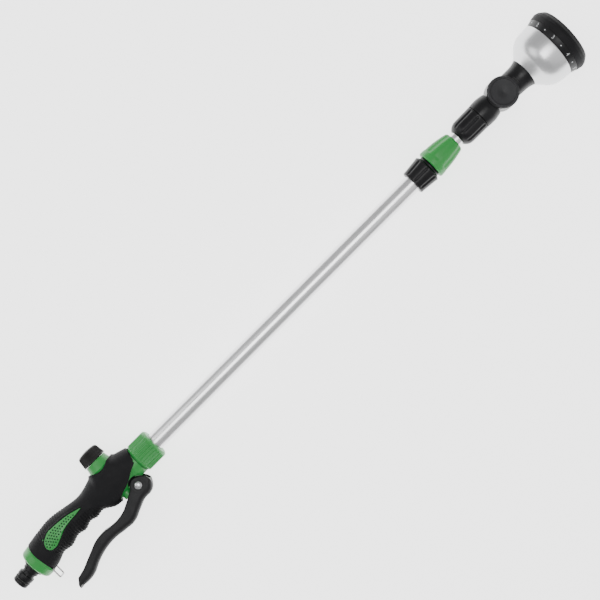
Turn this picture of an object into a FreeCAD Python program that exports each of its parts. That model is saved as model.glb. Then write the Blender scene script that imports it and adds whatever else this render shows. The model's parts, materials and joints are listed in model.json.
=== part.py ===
"""Telescopic watering wand: handle with squeeze valve and flow knob, sliding tube, tilting spray head.

Frame: +X runs along the tube from the hose end to the spray head, +Y points to the flow knob,
-Y to the squeeze lever, +Z is up as the wand lies on its side.  The origin is the centre of the
hose connector's latch flange.  All sizes are in millimetres.
"""
import FreeCAD, Part
import math
import os
import re
import Sketcher

V = FreeCAD.Vector
DOC = FreeCAD.newDocument("watering_wand")
PARTS = []

# ---------------------------------------------------------------- driving dimensions
DIMENSIONS = {
    # axes and stations along the wand
    "tube_y": 3.2, "connector_droop": 3.9, "valve_x": 130.0, "pin_x": 144.5, "pin_y": -15.3,
    "nut_x": 161.5, "collar_x": 550.5, "clamp_x": 575.5, "union_x": 614.5, "pivot_x": 676.5,
    "head_droop": 2.0, "fit": 0.06, "gap": 0.3,
    # hose connector, measured from the latch flange
    "latch_r": 8.7, "land_r": 8.2, "latch_half": 2.0, "tip_x": -10.0, "seal_a": -5.9, "seal_b": -3.5,
    "seal_floor_r": 6.4, "latch_neck_r": 7.0, "shoulder_x": 6.5, "shoulder_r": 8.3, "flange_x": 10.4,
    "flange_r": 10.5, "shank_x": 13.3, "shank_end": 27.0, "shank_r": 8.0, "way_r": 4.8,
    # handle
    "skin": 2.2, "end_collar_r": 17.7, "end_collar_end": 22.6, "inlet_y": 4.5, "inlet_r": 4.2,
    "spigot_r": 12.5, "spigot_end": 176.0, "spigot_way_r": 8.0, "lug_r": 7.0, "lug_half": 5.8,
    "ear_relief_r": 10.2, "pad_from": 34.5, "pad_to": 86.5,
    # knob and valve, measured along +Y
    "boss_low": 21.0, "boss_wide_y": 23.2, "boss_top": 32.2, "boss_r": 13.9, "boss_top_r": 12.0,
    "knob_low": 32.7, "knob_top": 46.0, "knob_r": 13.1, "knob_top_r": 11.2, "knob_wall": 2.0,
    "valve_bore_r": 6.5, "seat_y": -2.5, "seat_thick": 1.5, "seat_r": 3.6, "stem_r": 1.8,
    "poppet_r": 4.6, "poppet_thick": 2.0, "stem_tip_y": -23.2, "skirt_low": 3.6, "skirt_high": 9.6,
    "skirt_in_r": 5.3, "spindle_r": 3.5, "spindle_shoulder": 18.0, "spring_r": 4.2, "spring_wire": 0.45,
    "stub_r": 6.0, "stub_low": -13.4, "gland_r": 5.7, "gland_low": -17.4,
    # squeeze lever, measured from its pin
    "lever_half": 9.0, "slot_half": 6.2, "ear_r": 8.6, "slot_floor": -7.4,
    "pin_r": 2.0, "pin_head_r": 4.0,
    # lock bail, from the rear of the handle
    "bail_x": 26.0, "bail_y": -13.4, "bail_long": 11.6, "bail_half": 10.4, "wire_r": 0.8,
    # tubes
    "nut_long": 24.0, "nut_r": 16.3, "nut_chamfer": 1.8, "lip": 3.4, "tube_x": 178.2, "tube_end": 571.0,
    "tube_r": 9.5, "tube_in_r": 8.4, "slide_r": 7.5, "slide_in_r": 6.6, "slide_x": 200.0,
    "slide_end": 626.5, "piston_long": 16.0,
    # telescope lock
    "collar_long": 22.0, "collar_r": 13.2, "collar_end_r": 15.3, "lock_thread_r": 11.0,
    "lock_long": 18.0, "clamp_long": 34.0, "clamp_r": 15.6, "clamp_end_r": 10.6,
    # union and tilt joint, measured from the pivot
    "union_long": 29.0, "union_r": 14.0, "union_tip_r": 8.7, "joint_r": 13.9, "joint_back": -32.3,
    "union_thread_r": 11.5, "union_thread_back": -46.0, "drum_r": 16.3, "drum_half": 13.0,
    "drum_gap": 0.2, "joint_way_r": 4.6, "joint_way_z": 6.6, "cap_r": 15.6, "cap_thick": 3.0,
    "bolt_r": 2.5,
    # head, measured from the pivot
    "neck_end": 31.0, "neck_r": 13.8, "neck_end_r": 15.8, "bell_end": 64.5, "bell_r": 31.9,
    "bell_wall": 2.0, "band_end": 71.5, "band_r": 33.7, "bumper_r": 35.2, "front": 85.5,
    "face_x": 83.6, "disc_r": 18.6, "recess_r": 26.3, "recess_x": 74.0, "ring_in_r": 30.5,
    "nozzle_pitch_r": 14.0, "nozzle_r": 3.5, "screw_r": 2.2, "screw_head_r": 5.0,
}

# Stations of the moulded grip: place along X, top and bottom on the lever plane, half width.
GRIP_STATIONS = (
    (6.0, 18.0, -17.8, 16.4), (22.5, 20.4, -16.0, 17.0), (32.5, 22.0, -14.2, 17.0), (44.5, 23.7, -10.3, 16.6),
    (54.5, 24.6, -11.6, 16.4), (66.5, 23.4, -8.3, 15.6), (75.5, 21.6, -10.0, 15.0),
    (84.5, 20.0, -7.3, 13.4), (92.5, 19.4, -9.3, 13.9), (101.5, 20.8, -8.3, 14.2),
    (112.5, 24.0, -14.3, 16.0), (120.5, 25.7, -15.6, 16.9), (133.5, 26.2, -14.6, 17.2),
    (148.5, 23.6, -10.8, 16.6), (159.5, 20.4, -8.6, 14.2),
)
STATION_FIELDS = ("x", "top", "low", "half")
STATION_LETTERS = "abcdefghijklmno"
GRIP_SECTIONS = 36


def make_sheet():
    """Write every driving dimension into the spreadsheet under its own alias."""
    sheet = DOC.addObject("Spreadsheet::Sheet", "Dims")
    cells = dict(DIMENSIONS)
    for letter, station in zip(STATION_LETTERS, GRIP_STATIONS):
        for field, number in zip(STATION_FIELDS, station):
            cells["grip_%s_%s" % (letter, field)] = number
    for row, (alias, number) in enumerate(cells.items(), start=1):
        sheet.set("A%d" % row, alias)
        sheet.set("B%d" % row, str(number))
        sheet.setAlias("B%d" % row, alias)
    DOC.recompute()
    return sheet


SHEET = make_sheet()


def formula(text):
    """Turn plain dimension names into references to the sheet."""
    return re.sub(r"\b(?!sin\b|cos\b|tan\b|sqrt\b)([a-z][a-z_]*)\b", r"Dims.\1", str(text))


def size(text):
    """The present value of a formula."""
    value = SHEET.evalExpression(formula(text))
    return float(getattr(value, "Value", value))


def bind(item, prop, text):
    item.setExpression(prop, formula(text))


# ---------------------------------------------------------------- placements
STRAIGHT = FreeCAD.Rotation()
ALONG_Y = FreeCAD.Rotation(V(0, 0, 1), 90)
ALONG_Z = FreeCAD.Rotation(V(0, 1, 0), -90)
ON_TUBE = ("0", "tube_y", "0")


def place(item, at, rotation=STRAIGHT):
    """Set the rotation, then bind the base point to the sheet."""
    item.Placement = FreeCAD.Placement(V(*[size(text) for text in at]), rotation)
    for axis, text in zip("xyz", at):
        bind(item, "Placement.Base." + axis, text)
    return item


def droop(name):
    return FreeCAD.Rotation(V(0, 0, 1), size(name))


ON_CONNECTOR = (("0", "0", "0"), droop("connector_droop"))
ON_HEAD = (("pivot_x", "tube_y", "0"), droop("-head_droop"))
ON_JOINT = (("pivot_x", "tube_y", "0"), STRAIGHT)
ON_VALVE = (("valve_x", "0", "0"), ALONG_Y)


# ---------------------------------------------------------------- sketches and bodies
def origin_plane(body, role):
    return next(plane for plane in body.Origin.OriginFeatures if plane.Role == role)


def new_sketch(body, name, role="XY_Plane", lift=0.0):
    sketch = body.newObject("Sketcher::SketchObject", name)
    sketch.AttachmentSupport = [(origin_plane(body, role), "")]
    sketch.MapMode = "FlatFace"
    sketch.AttachmentOffset = FreeCAD.Placement(V(0, 0, lift), STRAIGHT)
    return sketch


def edge_between(start, end, radius):
    """A line, or the short arc whose centre lies left (radius > 0) or right (radius < 0) of the way."""
    if not radius:
        return Part.LineSegment(start, end), False
    chord = end - start
    left = V(-chord.y, chord.x, 0).normalize()
    height = math.sqrt(radius ** 2 - (chord.Length / 2) ** 2)
    centre = (start + end) * 0.5 + left * math.copysign(height, radius)
    first, last = (start, end) if radius > 0 else (end, start)
    angles = [math.atan2(point.y - centre.y, point.x - centre.x) for point in (first, last)]
    if angles[1] < angles[0]:
        angles[1] += 2 * math.pi
    circle = Part.Circle(centre, V(0, 0, 1), abs(radius))
    return Part.ArcOfCircle(circle, *angles), radius < 0


def pin_point(sketch, geometry, vertex, at):
    """Fix one point of a sketch on the sheet's sizes."""
    for kind, text, axis in (("DistanceX", at[0], -2), ("DistanceY", at[1], -1)):
        value = size(text)
        if abs(value) < 1e-9:
            sketch.addConstraint(Sketcher.Constraint("PointOnObject", geometry, vertex, axis))
            continue
        index = sketch.addConstraint(Sketcher.Constraint(kind, -1, 1, geometry, vertex, value))
        name = "%s_%d_%d" % (kind, geometry, vertex)
        sketch.renameConstraint(index, name)
        bind(sketch, "Constraints." + name, text)


def draw_outline(sketch, outline):
    """Closed outline of (x, y) or (x, y, radius of the edge that leads to the point)."""
    points = [V(size(item[0]), size(item[1]), 0) for item in outline]
    ends = []
    for number, item in enumerate(outline):
        radius = size(item[2]) if len(item) > 2 else 0
        geometry, swapped = edge_between(points[number - 1], points[number], radius)
        sketch.addGeometry(geometry, False)
        ends.append((2, 1) if swapped else (1, 2))
        if radius:
            sketch.addConstraint(Sketcher.Constraint("Radius", number, abs(radius)))
    for number in range(len(outline)):
        following = (number + 1) % len(outline)
        sketch.addConstraint(Sketcher.Constraint(
            "Coincident", number, ends[number][1], following, ends[following][0]))
        pin_point(sketch, number, ends[number][1], outline[number])
    return sketch


def keep(item, label):
    """Name a finished sub-part."""
    item.Label = label
    PARTS.append(item)
    return item


def turned(label, outline, at=ON_TUBE, rotation=STRAIGHT, kept=True):
    """A body of revolution about its own X axis."""
    body = DOC.addObject("PartDesign::Body", label + "_body")
    sketch = draw_outline(new_sketch(body, label + "_section"), outline)
    spin = body.newObject("PartDesign::Revolution", label + "_turn")
    spin.Profile = sketch
    spin.ReferenceAxis = (sketch, ["H_Axis"])
    spin.Angle = 360
    place(body, at, rotation)
    DOC.recompute()
    return keep(body, label) if kept else body


def feature_from(body, kind, name, sketch, length, midplane=True, through=False):
    """Pad or pocket a sketch of the same body, and check that it changes the volume."""
    before = body.Shape.Volume if body.Tip else 0.0
    feature = body.newObject("PartDesign::" + kind, name)
    feature.Profile = sketch
    feature.Midplane = midplane
    if through:
        feature.Type = "ThroughAll"
    else:
        bind(feature, "Length", length)
    DOC.recompute()
    if abs(body.Shape.Volume - before) < 1e-3:
        raise RuntimeError(name + " changes nothing")
    return feature


def pattern(body, feature, name, count, axis="X_Axis"):
    """Repeat a feature all round an axis of the body."""
    turned_copy = body.newObject("PartDesign::PolarPattern", name)
    turned_copy.Originals = [feature]
    turned_copy.Axis = (origin_plane(body, axis), [""])
    turned_copy.Angle = 360
    turned_copy.Occurrences = count
    body.Tip = turned_copy
    DOC.recompute()
    return turned_copy


def around(body, kind, name, outline, width, count):
    """Pad or cut a slice on the XY plane and repeat it all round the body's X axis."""
    sketch = draw_outline(new_sketch(body, name + "_sketch"), outline)
    feature = feature_from(body, kind, name + "_slice", sketch, width)
    return pattern(body, feature, name, count)


def holes(body, name, pitch_r, hole_r, count, start=0.0):
    """Holes along X, evenly spaced on a circle, through the whole body."""
    sketch = new_sketch(body, name + "_sketch", "YZ_Plane")
    centre = V(pitch_r * math.cos(math.radians(start)), pitch_r * math.sin(math.radians(start)), 0)
    sketch.addGeometry(Part.Circle(centre, V(0, 0, 1), hole_r), False)
    sketch.addConstraint(Sketcher.Constraint("Radius", 0, hole_r))
    pin_point(sketch, 0, 3, (str(centre.x), str(centre.y)))
    feature = feature_from(body, "Pocket", name + "_hole", sketch, "1", through=True)
    return pattern(body, feature, name, count) if count > 1 else feature


def plate(label, outline, thick, at, rotation=STRAIGHT, lift=0.0, kept=True):
    """An outline on the XY plane made thick along Z."""
    body = DOC.addObject("PartDesign::Body", label + "_body")
    sketch = draw_outline(new_sketch(body, label + "_outline", lift=lift), outline)
    feature_from(body, "Pad", label + "_pad", sketch, thick, midplane=(lift == 0.0))
    place(body, at, rotation)
    DOC.recompute()
    return keep(body, label) if kept else body


def rod(name, radius, length, at, rotation=STRAIGHT):
    """A cylinder primitive along its own Z axis, turned by the rotation."""
    cylinder = DOC.addObject("Part::Cylinder", name)
    bind(cylinder, "Radius", radius)
    bind(cylinder, "Height", length)
    return place(cylinder, at, rotation)


Z_TO_X = FreeCAD.Rotation(V(0, 1, 0), 90)
Z_TO_Y = FreeCAD.Rotation(V(1, 0, 0), -90)


def seal_ring(label, ring_r, section_r, at, rotation):
    """An O-ring: its axis is Z before the rotation."""
    ring = DOC.addObject("Part::Torus", label + "_torus")
    bind(ring, "Radius1", ring_r)
    bind(ring, "Radius2", section_r)
    return keep(place(ring, at, rotation), label)


def joined(kind, name, pieces):
    """Part::MultiFuse or a chain of Part::Cut of document objects."""
    if kind == "fuse":
        result = DOC.addObject("Part::MultiFuse", name)
        result.Shapes = pieces
        DOC.recompute()
        return result
    result = pieces[0]
    for number, tool in enumerate(pieces[1:]):
        cut = DOC.addObject("Part::Cut", "%s_%d" % (name, number))
        cut.Base = result
        cut.Tool = tool
        result = cut
    DOC.recompute()
    return result


# ---------------------------------------------------------------- hose connector
def hose_connector():
    turned("hose_connector", [
        ("tip_x", "way_r"), ("tip_x", "land_r-0.9"), ("tip_x+1.2", "land_r"),
        ("seal_a", "land_r"), ("seal_a", "seal_floor_r"), ("seal_b", "seal_floor_r"),
        ("seal_b", "land_r"), ("-latch_half", "land_r"), ("-latch_half", "latch_r"),
        ("latch_half", "latch_r"), ("latch_half", "latch_neck_r"), ("shoulder_x-0.6", "latch_neck_r"),
        ("shoulder_x", "shoulder_r"), ("flange_x", "shoulder_r"), ("flange_x", "flange_r"),
        ("shank_x", "flange_r"), ("shank_x", "shank_r"), ("shank_end", "shank_r"),
        ("shank_end", "way_r")], *ON_CONNECTOR)
    turned_ring = droop("connector_droop").multiply(Z_TO_X)
    seal_ring("connector_o_ring", "(seal_floor_r+latch_r)/2-0.05", "(latch_r-seal_floor_r)/2-0.1",
              ("(seal_a+seal_b)/2*cos(connector_droop)", "(seal_a+seal_b)/2*sin(connector_droop)", "0"),
              turned_ring)
    turned("connector_washer", [
        ("shank_end", "way_r"), ("shank_end", "shank_r"), ("shank_end+1.5", "shank_r"),
        ("shank_end+1.5", "way_r")], *ON_CONNECTOR)


# ---------------------------------------------------------------- handle
def grip_blend(x):
    """Weights of the stations around x for a smooth curve through all of them."""
    places = [size("grip_%s_x" % letter) for letter in STATION_LETTERS]
    last = len(places) - 1
    this = max(number for number in range(last) if places[number] <= x + 1e-9)
    before, ahead, beyond = max(this - 1, 0), this + 1, min(this + 2, last)
    span = places[ahead] - places[this]
    part = (x - places[this]) / span
    leave = part * (1 - part) ** 2 * span / (places[ahead] - places[before])
    arrive = part ** 2 * (part - 1) * span / (places[beyond] - places[this])
    step = part ** 2 * (3 - 2 * part)
    weights = dict.fromkeys((before, this, ahead, beyond), 0.0)
    for number, weight in ((before, -leave), (this, 1 - step - arrive),
                           (ahead, step + leave), (beyond, arrive)):
        weights[number] += weight
    return weights


def grip_size(x, field):
    """Formula for a grip size at x, as a blend of the stations' cells."""
    terms = ["(%.5f)*grip_%s_%s" % (weight, STATION_LETTERS[number], field)
             for number, weight in grip_blend(x).items() if abs(weight) > 1e-6]
    return "(" + "+".join(terms) + ")"


def grip_loft(name, inset):
    """Grip of elliptical sections, evenly spaced and set in from the surface."""
    upright = FreeCAD.Rotation(V(0, 1, 0), V(0, 0, 1), V(1, 0, 0), "XYZ")
    first = size("grip_a_x")
    last = size("grip_%s_x" % STATION_LETTERS[-1])
    sections = []
    for number in range(GRIP_SECTIONS):
        x = first + (last - first) * number / (GRIP_SECTIONS - 1)
        top, low, half = [grip_size(x, field) for field in ("top", "low", "half")]
        oval = DOC.addObject("Part::Ellipse", "%s_%d" % (name, number))
        oval.MajorRadius = 100
        bind(oval, "MinorRadius", "%s-%s" % (half, inset))
        bind(oval, "MajorRadius", "(%s-%s)/2-%s" % (top, low, inset))
        place(oval, (str(x), "(%s+%s)/2" % (top, low), "0"), upright)
        sections.append(oval)
    loft = DOC.addObject("Part::Loft", name)
    loft.Sections = sections
    loft.Solid = True
    loft.MaxDegree = 8
    rear = turned(name + "_rear", [
        ("0", "0"), ("0", "30"), ("end_collar_end+0.1", "30"), ("end_collar_end+0.1", "0")],
        *ON_CONNECTOR, kept=False)
    return joined("cut", name + "_trimmed", [loft, rear])


def pad_outline(grow):
    """Teardrop of the grip pad: round at the hose end, pointed towards the knob."""
    return [
        ("pad_to+%s" % grow, "9.4"), ("pad_from+19", "15.4+%s" % grow, "90"),
        ("pad_from+5", "13+%s" % grow, "18"), ("pad_from-%s" % grow, "5", "10"),
        ("pad_from+6", "-1.2-%s" % grow, "6"), ("pad_from+20", "3.2-%s" % grow, "-60"),
        ("pad_to-18", "7.0-%s" % grow, "-60")]


def handle():
    """Hard core with its water ways, and the soft skin moulded over it."""
    core_loft = grip_loft("core_form", "skin")
    skin_loft = grip_loft("skin_form", "0")
    end_collar = turned("end_collar", [
        ("shank_x+0.2", "0"), ("shank_x+0.2", "end_collar_r-3.5"),
        ("shank_x+3.7", "end_collar_r", "-3.5"), ("end_collar_end", "end_collar_r+0.5"),
        ("end_collar_end+8", "end_collar_r-4"), ("end_collar_end+8", "0")], *ON_CONNECTOR, kept=False)
    boss = turned("knob_boss", [
        ("0", "0"), ("0", "9"), ("boss_low-6", "10"), ("boss_wide_y", "boss_r"),
        ("boss_top", "boss_top_r", "60"), ("boss_top", "0")], *ON_VALVE, kept=False)
    stub = rod("valve_stub", "stub_r", "12", ("valve_x", "stub_low", "0"), Z_TO_Y)
    spigot = turned("spigot", [
        ("nut_x-22", "0"), ("nut_x-22", "spigot_r-2"), ("nut_x-8", "14.5"), ("nut_x-0.8", "14.5"),
        ("nut_x-0.8", "spigot_r"), ("spigot_end", "spigot_r"), ("spigot_end", "0")], kept=False)
    lug = plate("pin_lug", [
        ("lug_r", "14"), ("-lug_r-5", "14"), ("-lug_r", "0"), ("0", "-lug_r", "lug_r"),
        ("lug_r", "0", "lug_r")],
        "2*lug_half", ("pin_x", "pin_y", "0"), kept=False)
    pad_block = plate("pad_block", pad_outline("0"), "60", ("0", "0", "0"), kept=False)
    pads = DOC.addObject("Part::Common", "pads")
    pads.Base = skin_loft
    pads.Tool = pad_block
    solid = joined("fuse", "core_blank", [core_loft, end_collar, boss, stub, spigot, lug, pads])

    inlet_end = turned("inlet_socket", [
        ("shank_x-1", "0"), ("shank_x-1", "shank_r+fit"), ("shank_end+1.6", "shank_r+fit"),
        ("shank_end+1.6", "way_r"), ("shank_end+9", "way_r"), ("shank_end+9", "0")],
        *ON_CONNECTOR, kept=False)
    inlet = rod("inlet_way", "inlet_r", "valve_x-shank_end-5", ("shank_end+5", "inlet_y", "0"), Z_TO_X)
    chamber = turned("valve_chamber", [
        ("stub_low-1", "0"), ("stub_low-1", "stem_r+2.4"), ("stub_low+3", "stem_r+2.4"),
        ("stub_low+3", "5.4"), ("seat_y-2.5", "5.4"), ("seat_y-2.5", "seat_r+0.4"),
        ("seat_y", "seat_r+0.4"), ("seat_y", "valve_bore_r"), ("boss_top+1", "valve_bore_r"),
        ("boss_top+1", "0")], *ON_VALVE, kept=False)
    rise = FreeCAD.Rotation(V(0, 0, 1), 17).multiply(Z_TO_X)
    outlet = rod("outlet_way", "3.3", "32", ("valve_x", "-7.6", "0"), rise)
    spigot_way = rod("spigot_way", "spigot_way_r", "30",
                     ("spigot_end-26", "tube_y", "0"), Z_TO_X)
    pin_hole = rod("pin_hole", "pin_r", "30", ("pin_x", "pin_y", "-15"))
    reliefs = [rod("ear_relief_up", "ear_relief_r", "20", ("pin_x", "pin_y", "lug_half")),
               rod("ear_relief_down", "ear_relief_r", "20", ("pin_x", "pin_y", "-lug_half-20"))]
    bail_hole = rod("bail_hole", "wire_r+fit", "60", ("bail_x", "bail_y", "-30"))
    core = joined("cut", "core", [solid, inlet_end, inlet, chamber, outlet, spigot_way, pin_hole,
                                  bail_hole] + reliefs)
    keep(core, "handle_core")

    window = plate("pad_window", pad_outline("0.15"), "60", ("0", "0", "0"), kept=False)
    boss_window = turned("boss_window", [
        ("9", "0"), ("9", "8"), ("18", "boss_r+0.6"), ("30", "boss_r+1.8"), ("30", "0")],
        *ON_VALVE, kept=False)
    lower_window = plate("lower_window", [
        ("159.5", "3.2"), ("146", "-2", "60"), ("133.5", "-8.6", "-60"), ("121.8", "-13.2", "40"),
        ("118", "-30"), ("175", "-30"), ("175", "3.2")], "60", ("0", "0", "0"), kept=False)
    front_trim = turned("front_trim", [
        ("nut_x-8.6", "0"), ("nut_x-8.6", "14.56"), ("nut_x+4", "14.56"), ("nut_x+4", "0")],
        kept=False)
    skin = joined("cut", "skin_cut", [
        skin_loft, core_loft, end_collar, boss_window, spigot, stub, lug, window, lower_window,
        front_trim, bail_hole] + reliefs)
    keep(skin, "grip_overmould")


# ---------------------------------------------------------------- flow knob and squeeze valve
def valve():
    turned("valve_seat", [
        ("seat_y+0.02", "seat_r"), ("seat_y+0.02", "valve_bore_r-0.05"),
        ("seat_y+seat_thick", "valve_bore_r-0.05"), ("seat_y+seat_thick", "seat_r")], *ON_VALVE)
    poppet_y = "seat_y+seat_thick+0.02"
    turned("valve_stem", [
        ("stem_tip_y", "0"), ("stem_tip_y+stem_r", "stem_r", "-stem_r"), (poppet_y, "stem_r"),
        (poppet_y, "poppet_r"), (poppet_y + "+poppet_thick", "poppet_r"),
        (poppet_y + "+poppet_thick", "1.6"), (poppet_y + "+poppet_thick+2.2", "1.6"),
        (poppet_y + "+poppet_thick+2.2", "0")], *ON_VALVE)
    turned("gland_nut", [
        ("gland_low", "stem_r+fit"), ("gland_low", "gland_r-0.6"), ("gland_low+0.6", "gland_r"),
        ("stub_low-0.02", "gland_r"), ("stub_low-0.02", "stem_r+2.3"),
        ("stub_low+1.4", "stem_r+2.3"), ("stub_low+1.4", "stem_r+fit")], *ON_VALVE)
    seal_ring("gland_o_ring", "stem_r+1.12", "0.95",
              ("valve_x", "stub_low+2.4", "0"), Z_TO_Y)
    spring_low = size(poppet_y + "+poppet_thick") + size("spring_wire") + 0.03
    spring_high = size("skirt_high") - size("spring_wire") - 0.6
    helix = DOC.addObject("Part::Helix", "spring_line")
    helix.Pitch = 1.45
    helix.Height = spring_high - spring_low
    bind(helix, "Radius", "spring_r")
    wire = DOC.addObject("Part::Circle", "spring_section")
    bind(wire, "Radius", "spring_wire")
    wire.Placement = FreeCAD.Placement(V(size("spring_r"), 0, 0), FreeCAD.Rotation(V(1, 0, 0), 90))
    coil = DOC.addObject("Part::Sweep", "spring_sweep")
    coil.Sections = [wire]
    coil.Spine = (helix, ["Edge1"])
    coil.Solid = True
    coil.Frenet = True
    coil.Placement = FreeCAD.Placement(V(size("valve_x"), spring_low, 0), Z_TO_Y)
    keep(coil, "valve_spring")


def knob():
    spindle = turned("flow_spindle", [
        ("skirt_low", "skirt_in_r"), ("skirt_low", "valve_bore_r-fit"),
        ("13", "valve_bore_r-fit"), ("13", "valve_bore_r-1.7"), ("15.2", "valve_bore_r-1.7"),
        ("15.2", "valve_bore_r-fit"), ("spindle_shoulder", "valve_bore_r-fit"),
        ("spindle_shoulder", "spindle_r"), ("knob_top-3", "spindle_r"), ("knob_top-3", "0"),
        ("skirt_high", "0"), ("skirt_high", "skirt_in_r")], *ON_VALVE)
    port = new_sketch(spindle, "spindle_port_sketch", "XZ_Plane")
    port.addGeometry(Part.Circle(V(size("inlet_y"), 0, 0), V(0, 0, 1), 3.0), False)
    port.addConstraint(Sketcher.Constraint("Radius", 0, 3.0))
    pin_point(port, 0, 3, ("inlet_y", "0"))
    cut = spindle.newObject("PartDesign::Pocket", "spindle_port")
    cut.Profile = port
    bind(cut, "Length", "valve_bore_r+2")
    before = spindle.Shape.Volume
    DOC.recompute()
    hose_side = spindle.Shape.common(Part.makeBox(8, 8, 8, V(size("valve_x") - 8, 0.5, -4))).Volume
    head_side = spindle.Shape.common(Part.makeBox(8, 8, 8, V(size("valve_x"), 0.5, -4))).Volume
    if hose_side > head_side:
        cut.Reversed = True
        DOC.recompute()
    if spindle.Shape.Volume > before - 1:
        raise RuntimeError("the spindle has no port")
    seal_ring("spindle_o_ring", "valve_bore_r-0.86", "0.8", ("valve_x", "14.1", "0"), Z_TO_Y)
    turned("spindle_bush", [
        ("spindle_shoulder+0.3", "spindle_r+fit"), ("spindle_shoulder+0.3", "valve_bore_r-0.05"),
        ("boss_top", "valve_bore_r-0.05"), ("boss_top", "spindle_r+fit")], *ON_VALVE)
    cap = turned("knob_cap", [
        ("knob_low", "spindle_r+0.05"), ("knob_low", "6.2"), ("knob_top-4", "6.2"),
        ("knob_top-4", "knob_top_r-knob_wall-0.4"), ("knob_low", "knob_r-knob_wall"),
        ("knob_low", "knob_r"), ("knob_top-3", "knob_top_r+0.4"),
        ("knob_top-0.8", "knob_top_r-2.4", "-2.6"), ("knob_top", "0", "-60"),
        ("knob_top-2.95", "0"), ("knob_top-2.95", "spindle_r+0.05")], *ON_VALVE)
    around(cap, "Pocket", "knob_flutes", [
        ("knob_low+0.6", "knob_r-0.45"), ("knob_top-3.4", "knob_top_r-0.05"),
        ("knob_top-3.4", "knob_r+2"), ("knob_low+0.6", "knob_r+2")], "0.9", 36)


# ---------------------------------------------------------------- lever and lock bail
def lever():
    """S-shaped channel lever: side view outline, slot for the pin lug and the valve gland."""
    body = plate("lever", [
        ("-9.2", "2.4"), ("-6.3", "5.9"), ("0", "ear_r", "-ear_r"), ("6.6", "6.2", "-ear_r"),
        ("12.8", "-3", "-12"), ("1", "-14.2", "-12.2"), ("-8", "-14.9", "25"), ("-20", "-20"),
        ("-32", "-23.6", "-26"), ("-44", "-22.4"), ("-66", "-22", "60"), ("-90", "-30.2", "70"),
        ("-108.5", "-32.3", "-30"), ("-109.6", "-31.0"), ("-111.4", "-31.0"), ("-111.6", "-32.7"),
        ("-112.6", "-32.2"), ("-112.2", "-28.6"), ("-107.6", "-22.9"), ("-98", "-20.6"),
        ("-72", "-9.9"), ("-56", "-8.4", "-40"), ("-28", "-7.4", "50"), ("-18", "-2.6")],
        "2*lever_half", ("pin_x", "pin_y", "0"))
    slot = draw_outline(new_sketch(body, "lever_slot_sketch"), [
        ("30", "slot_floor"), ("30", "30"), ("-27", "30"), ("-27", "-12.5"), ("-20", "slot_floor-3"),
        ("-12", "slot_floor")])
    feature_from(body, "Pocket", "lever_slot", slot, "2*slot_half")
    bore = new_sketch(body, "lever_bore_sketch")
    bore.addGeometry(Part.Circle(V(0, 0, 0), V(0, 0, 1), size("pin_r+fit")), False)
    index = bore.addConstraint(Sketcher.Constraint("Radius", 0, size("pin_r+fit")))
    bore.renameConstraint(index, "bore_r")
    bind(bore, "Constraints.bore_r", "pin_r+fit")
    bore.addConstraint(Sketcher.Constraint("Coincident", 0, 3, -1, 1))
    feature_from(body, "Pocket", "lever_bore", bore, "1", through=True)
    pin_half = "(lever_half+0.2)"
    turned("lever_pin", [
        ("-%s-1.6" % pin_half, "0"), ("-%s-1.6" % pin_half, "1.2"),
        ("-%s-0.3" % pin_half, "pin_head_r", "-5"), ("-%s" % pin_half, "pin_head_r"),
        ("-%s" % pin_half, "pin_r"), (pin_half, "pin_r"), (pin_half, "pin_head_r"),
        (pin_half + "+0.3", "pin_head_r"), (pin_half + "+1.6", "1.2", "-5"),
        (pin_half + "+1.6", "0")], ("pin_x", "pin_y", "0"), ALONG_Z)


def lock_bail():
    """Bent wire: two legs through the handle's sides and a crossbar that hooks the lever's tip."""
    half = size("bail_half")
    long = size("bail_long")
    bend = 2.2
    inward = 5.0
    points = [V(0, 0, -half + inward), V(0, 0, -half), V(0, -long, -half), V(0, -long, half),
              V(0, 0, half), V(0, 0, half - inward)]
    edges = []
    start = points[0]
    for before, corner, after in zip(points, points[1:], points[2:]):
        to_corner = (corner - before).normalize()
        away = (after - corner).normalize()
        arc_start = corner - to_corner * bend
        arc_end = corner + away * bend
        middle = corner + (away - to_corner) * bend * (1 - math.sqrt(0.5))
        edges.append(Part.LineSegment(start, arc_start).toShape())
        edges.append(Part.Arc(arc_start, middle, arc_end).toShape())
        start = arc_end
    edges.append(Part.LineSegment(start, points[-1]).toShape())
    path = Part.Wire(edges)
    section = Part.Wire([Part.Circle(points[0], V(0, 0, 1), size("wire_r")).toShape()])
    bail = DOC.addObject("Part::Feature", "lock_bail_wire")
    bail.Shape = path.makePipeShell([section], True, True)
    bail.Placement = FreeCAD.Placement(V(size("bail_x"), size("bail_y"), 0), STRAIGHT)
    keep(bail, "lock_bail")


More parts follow.
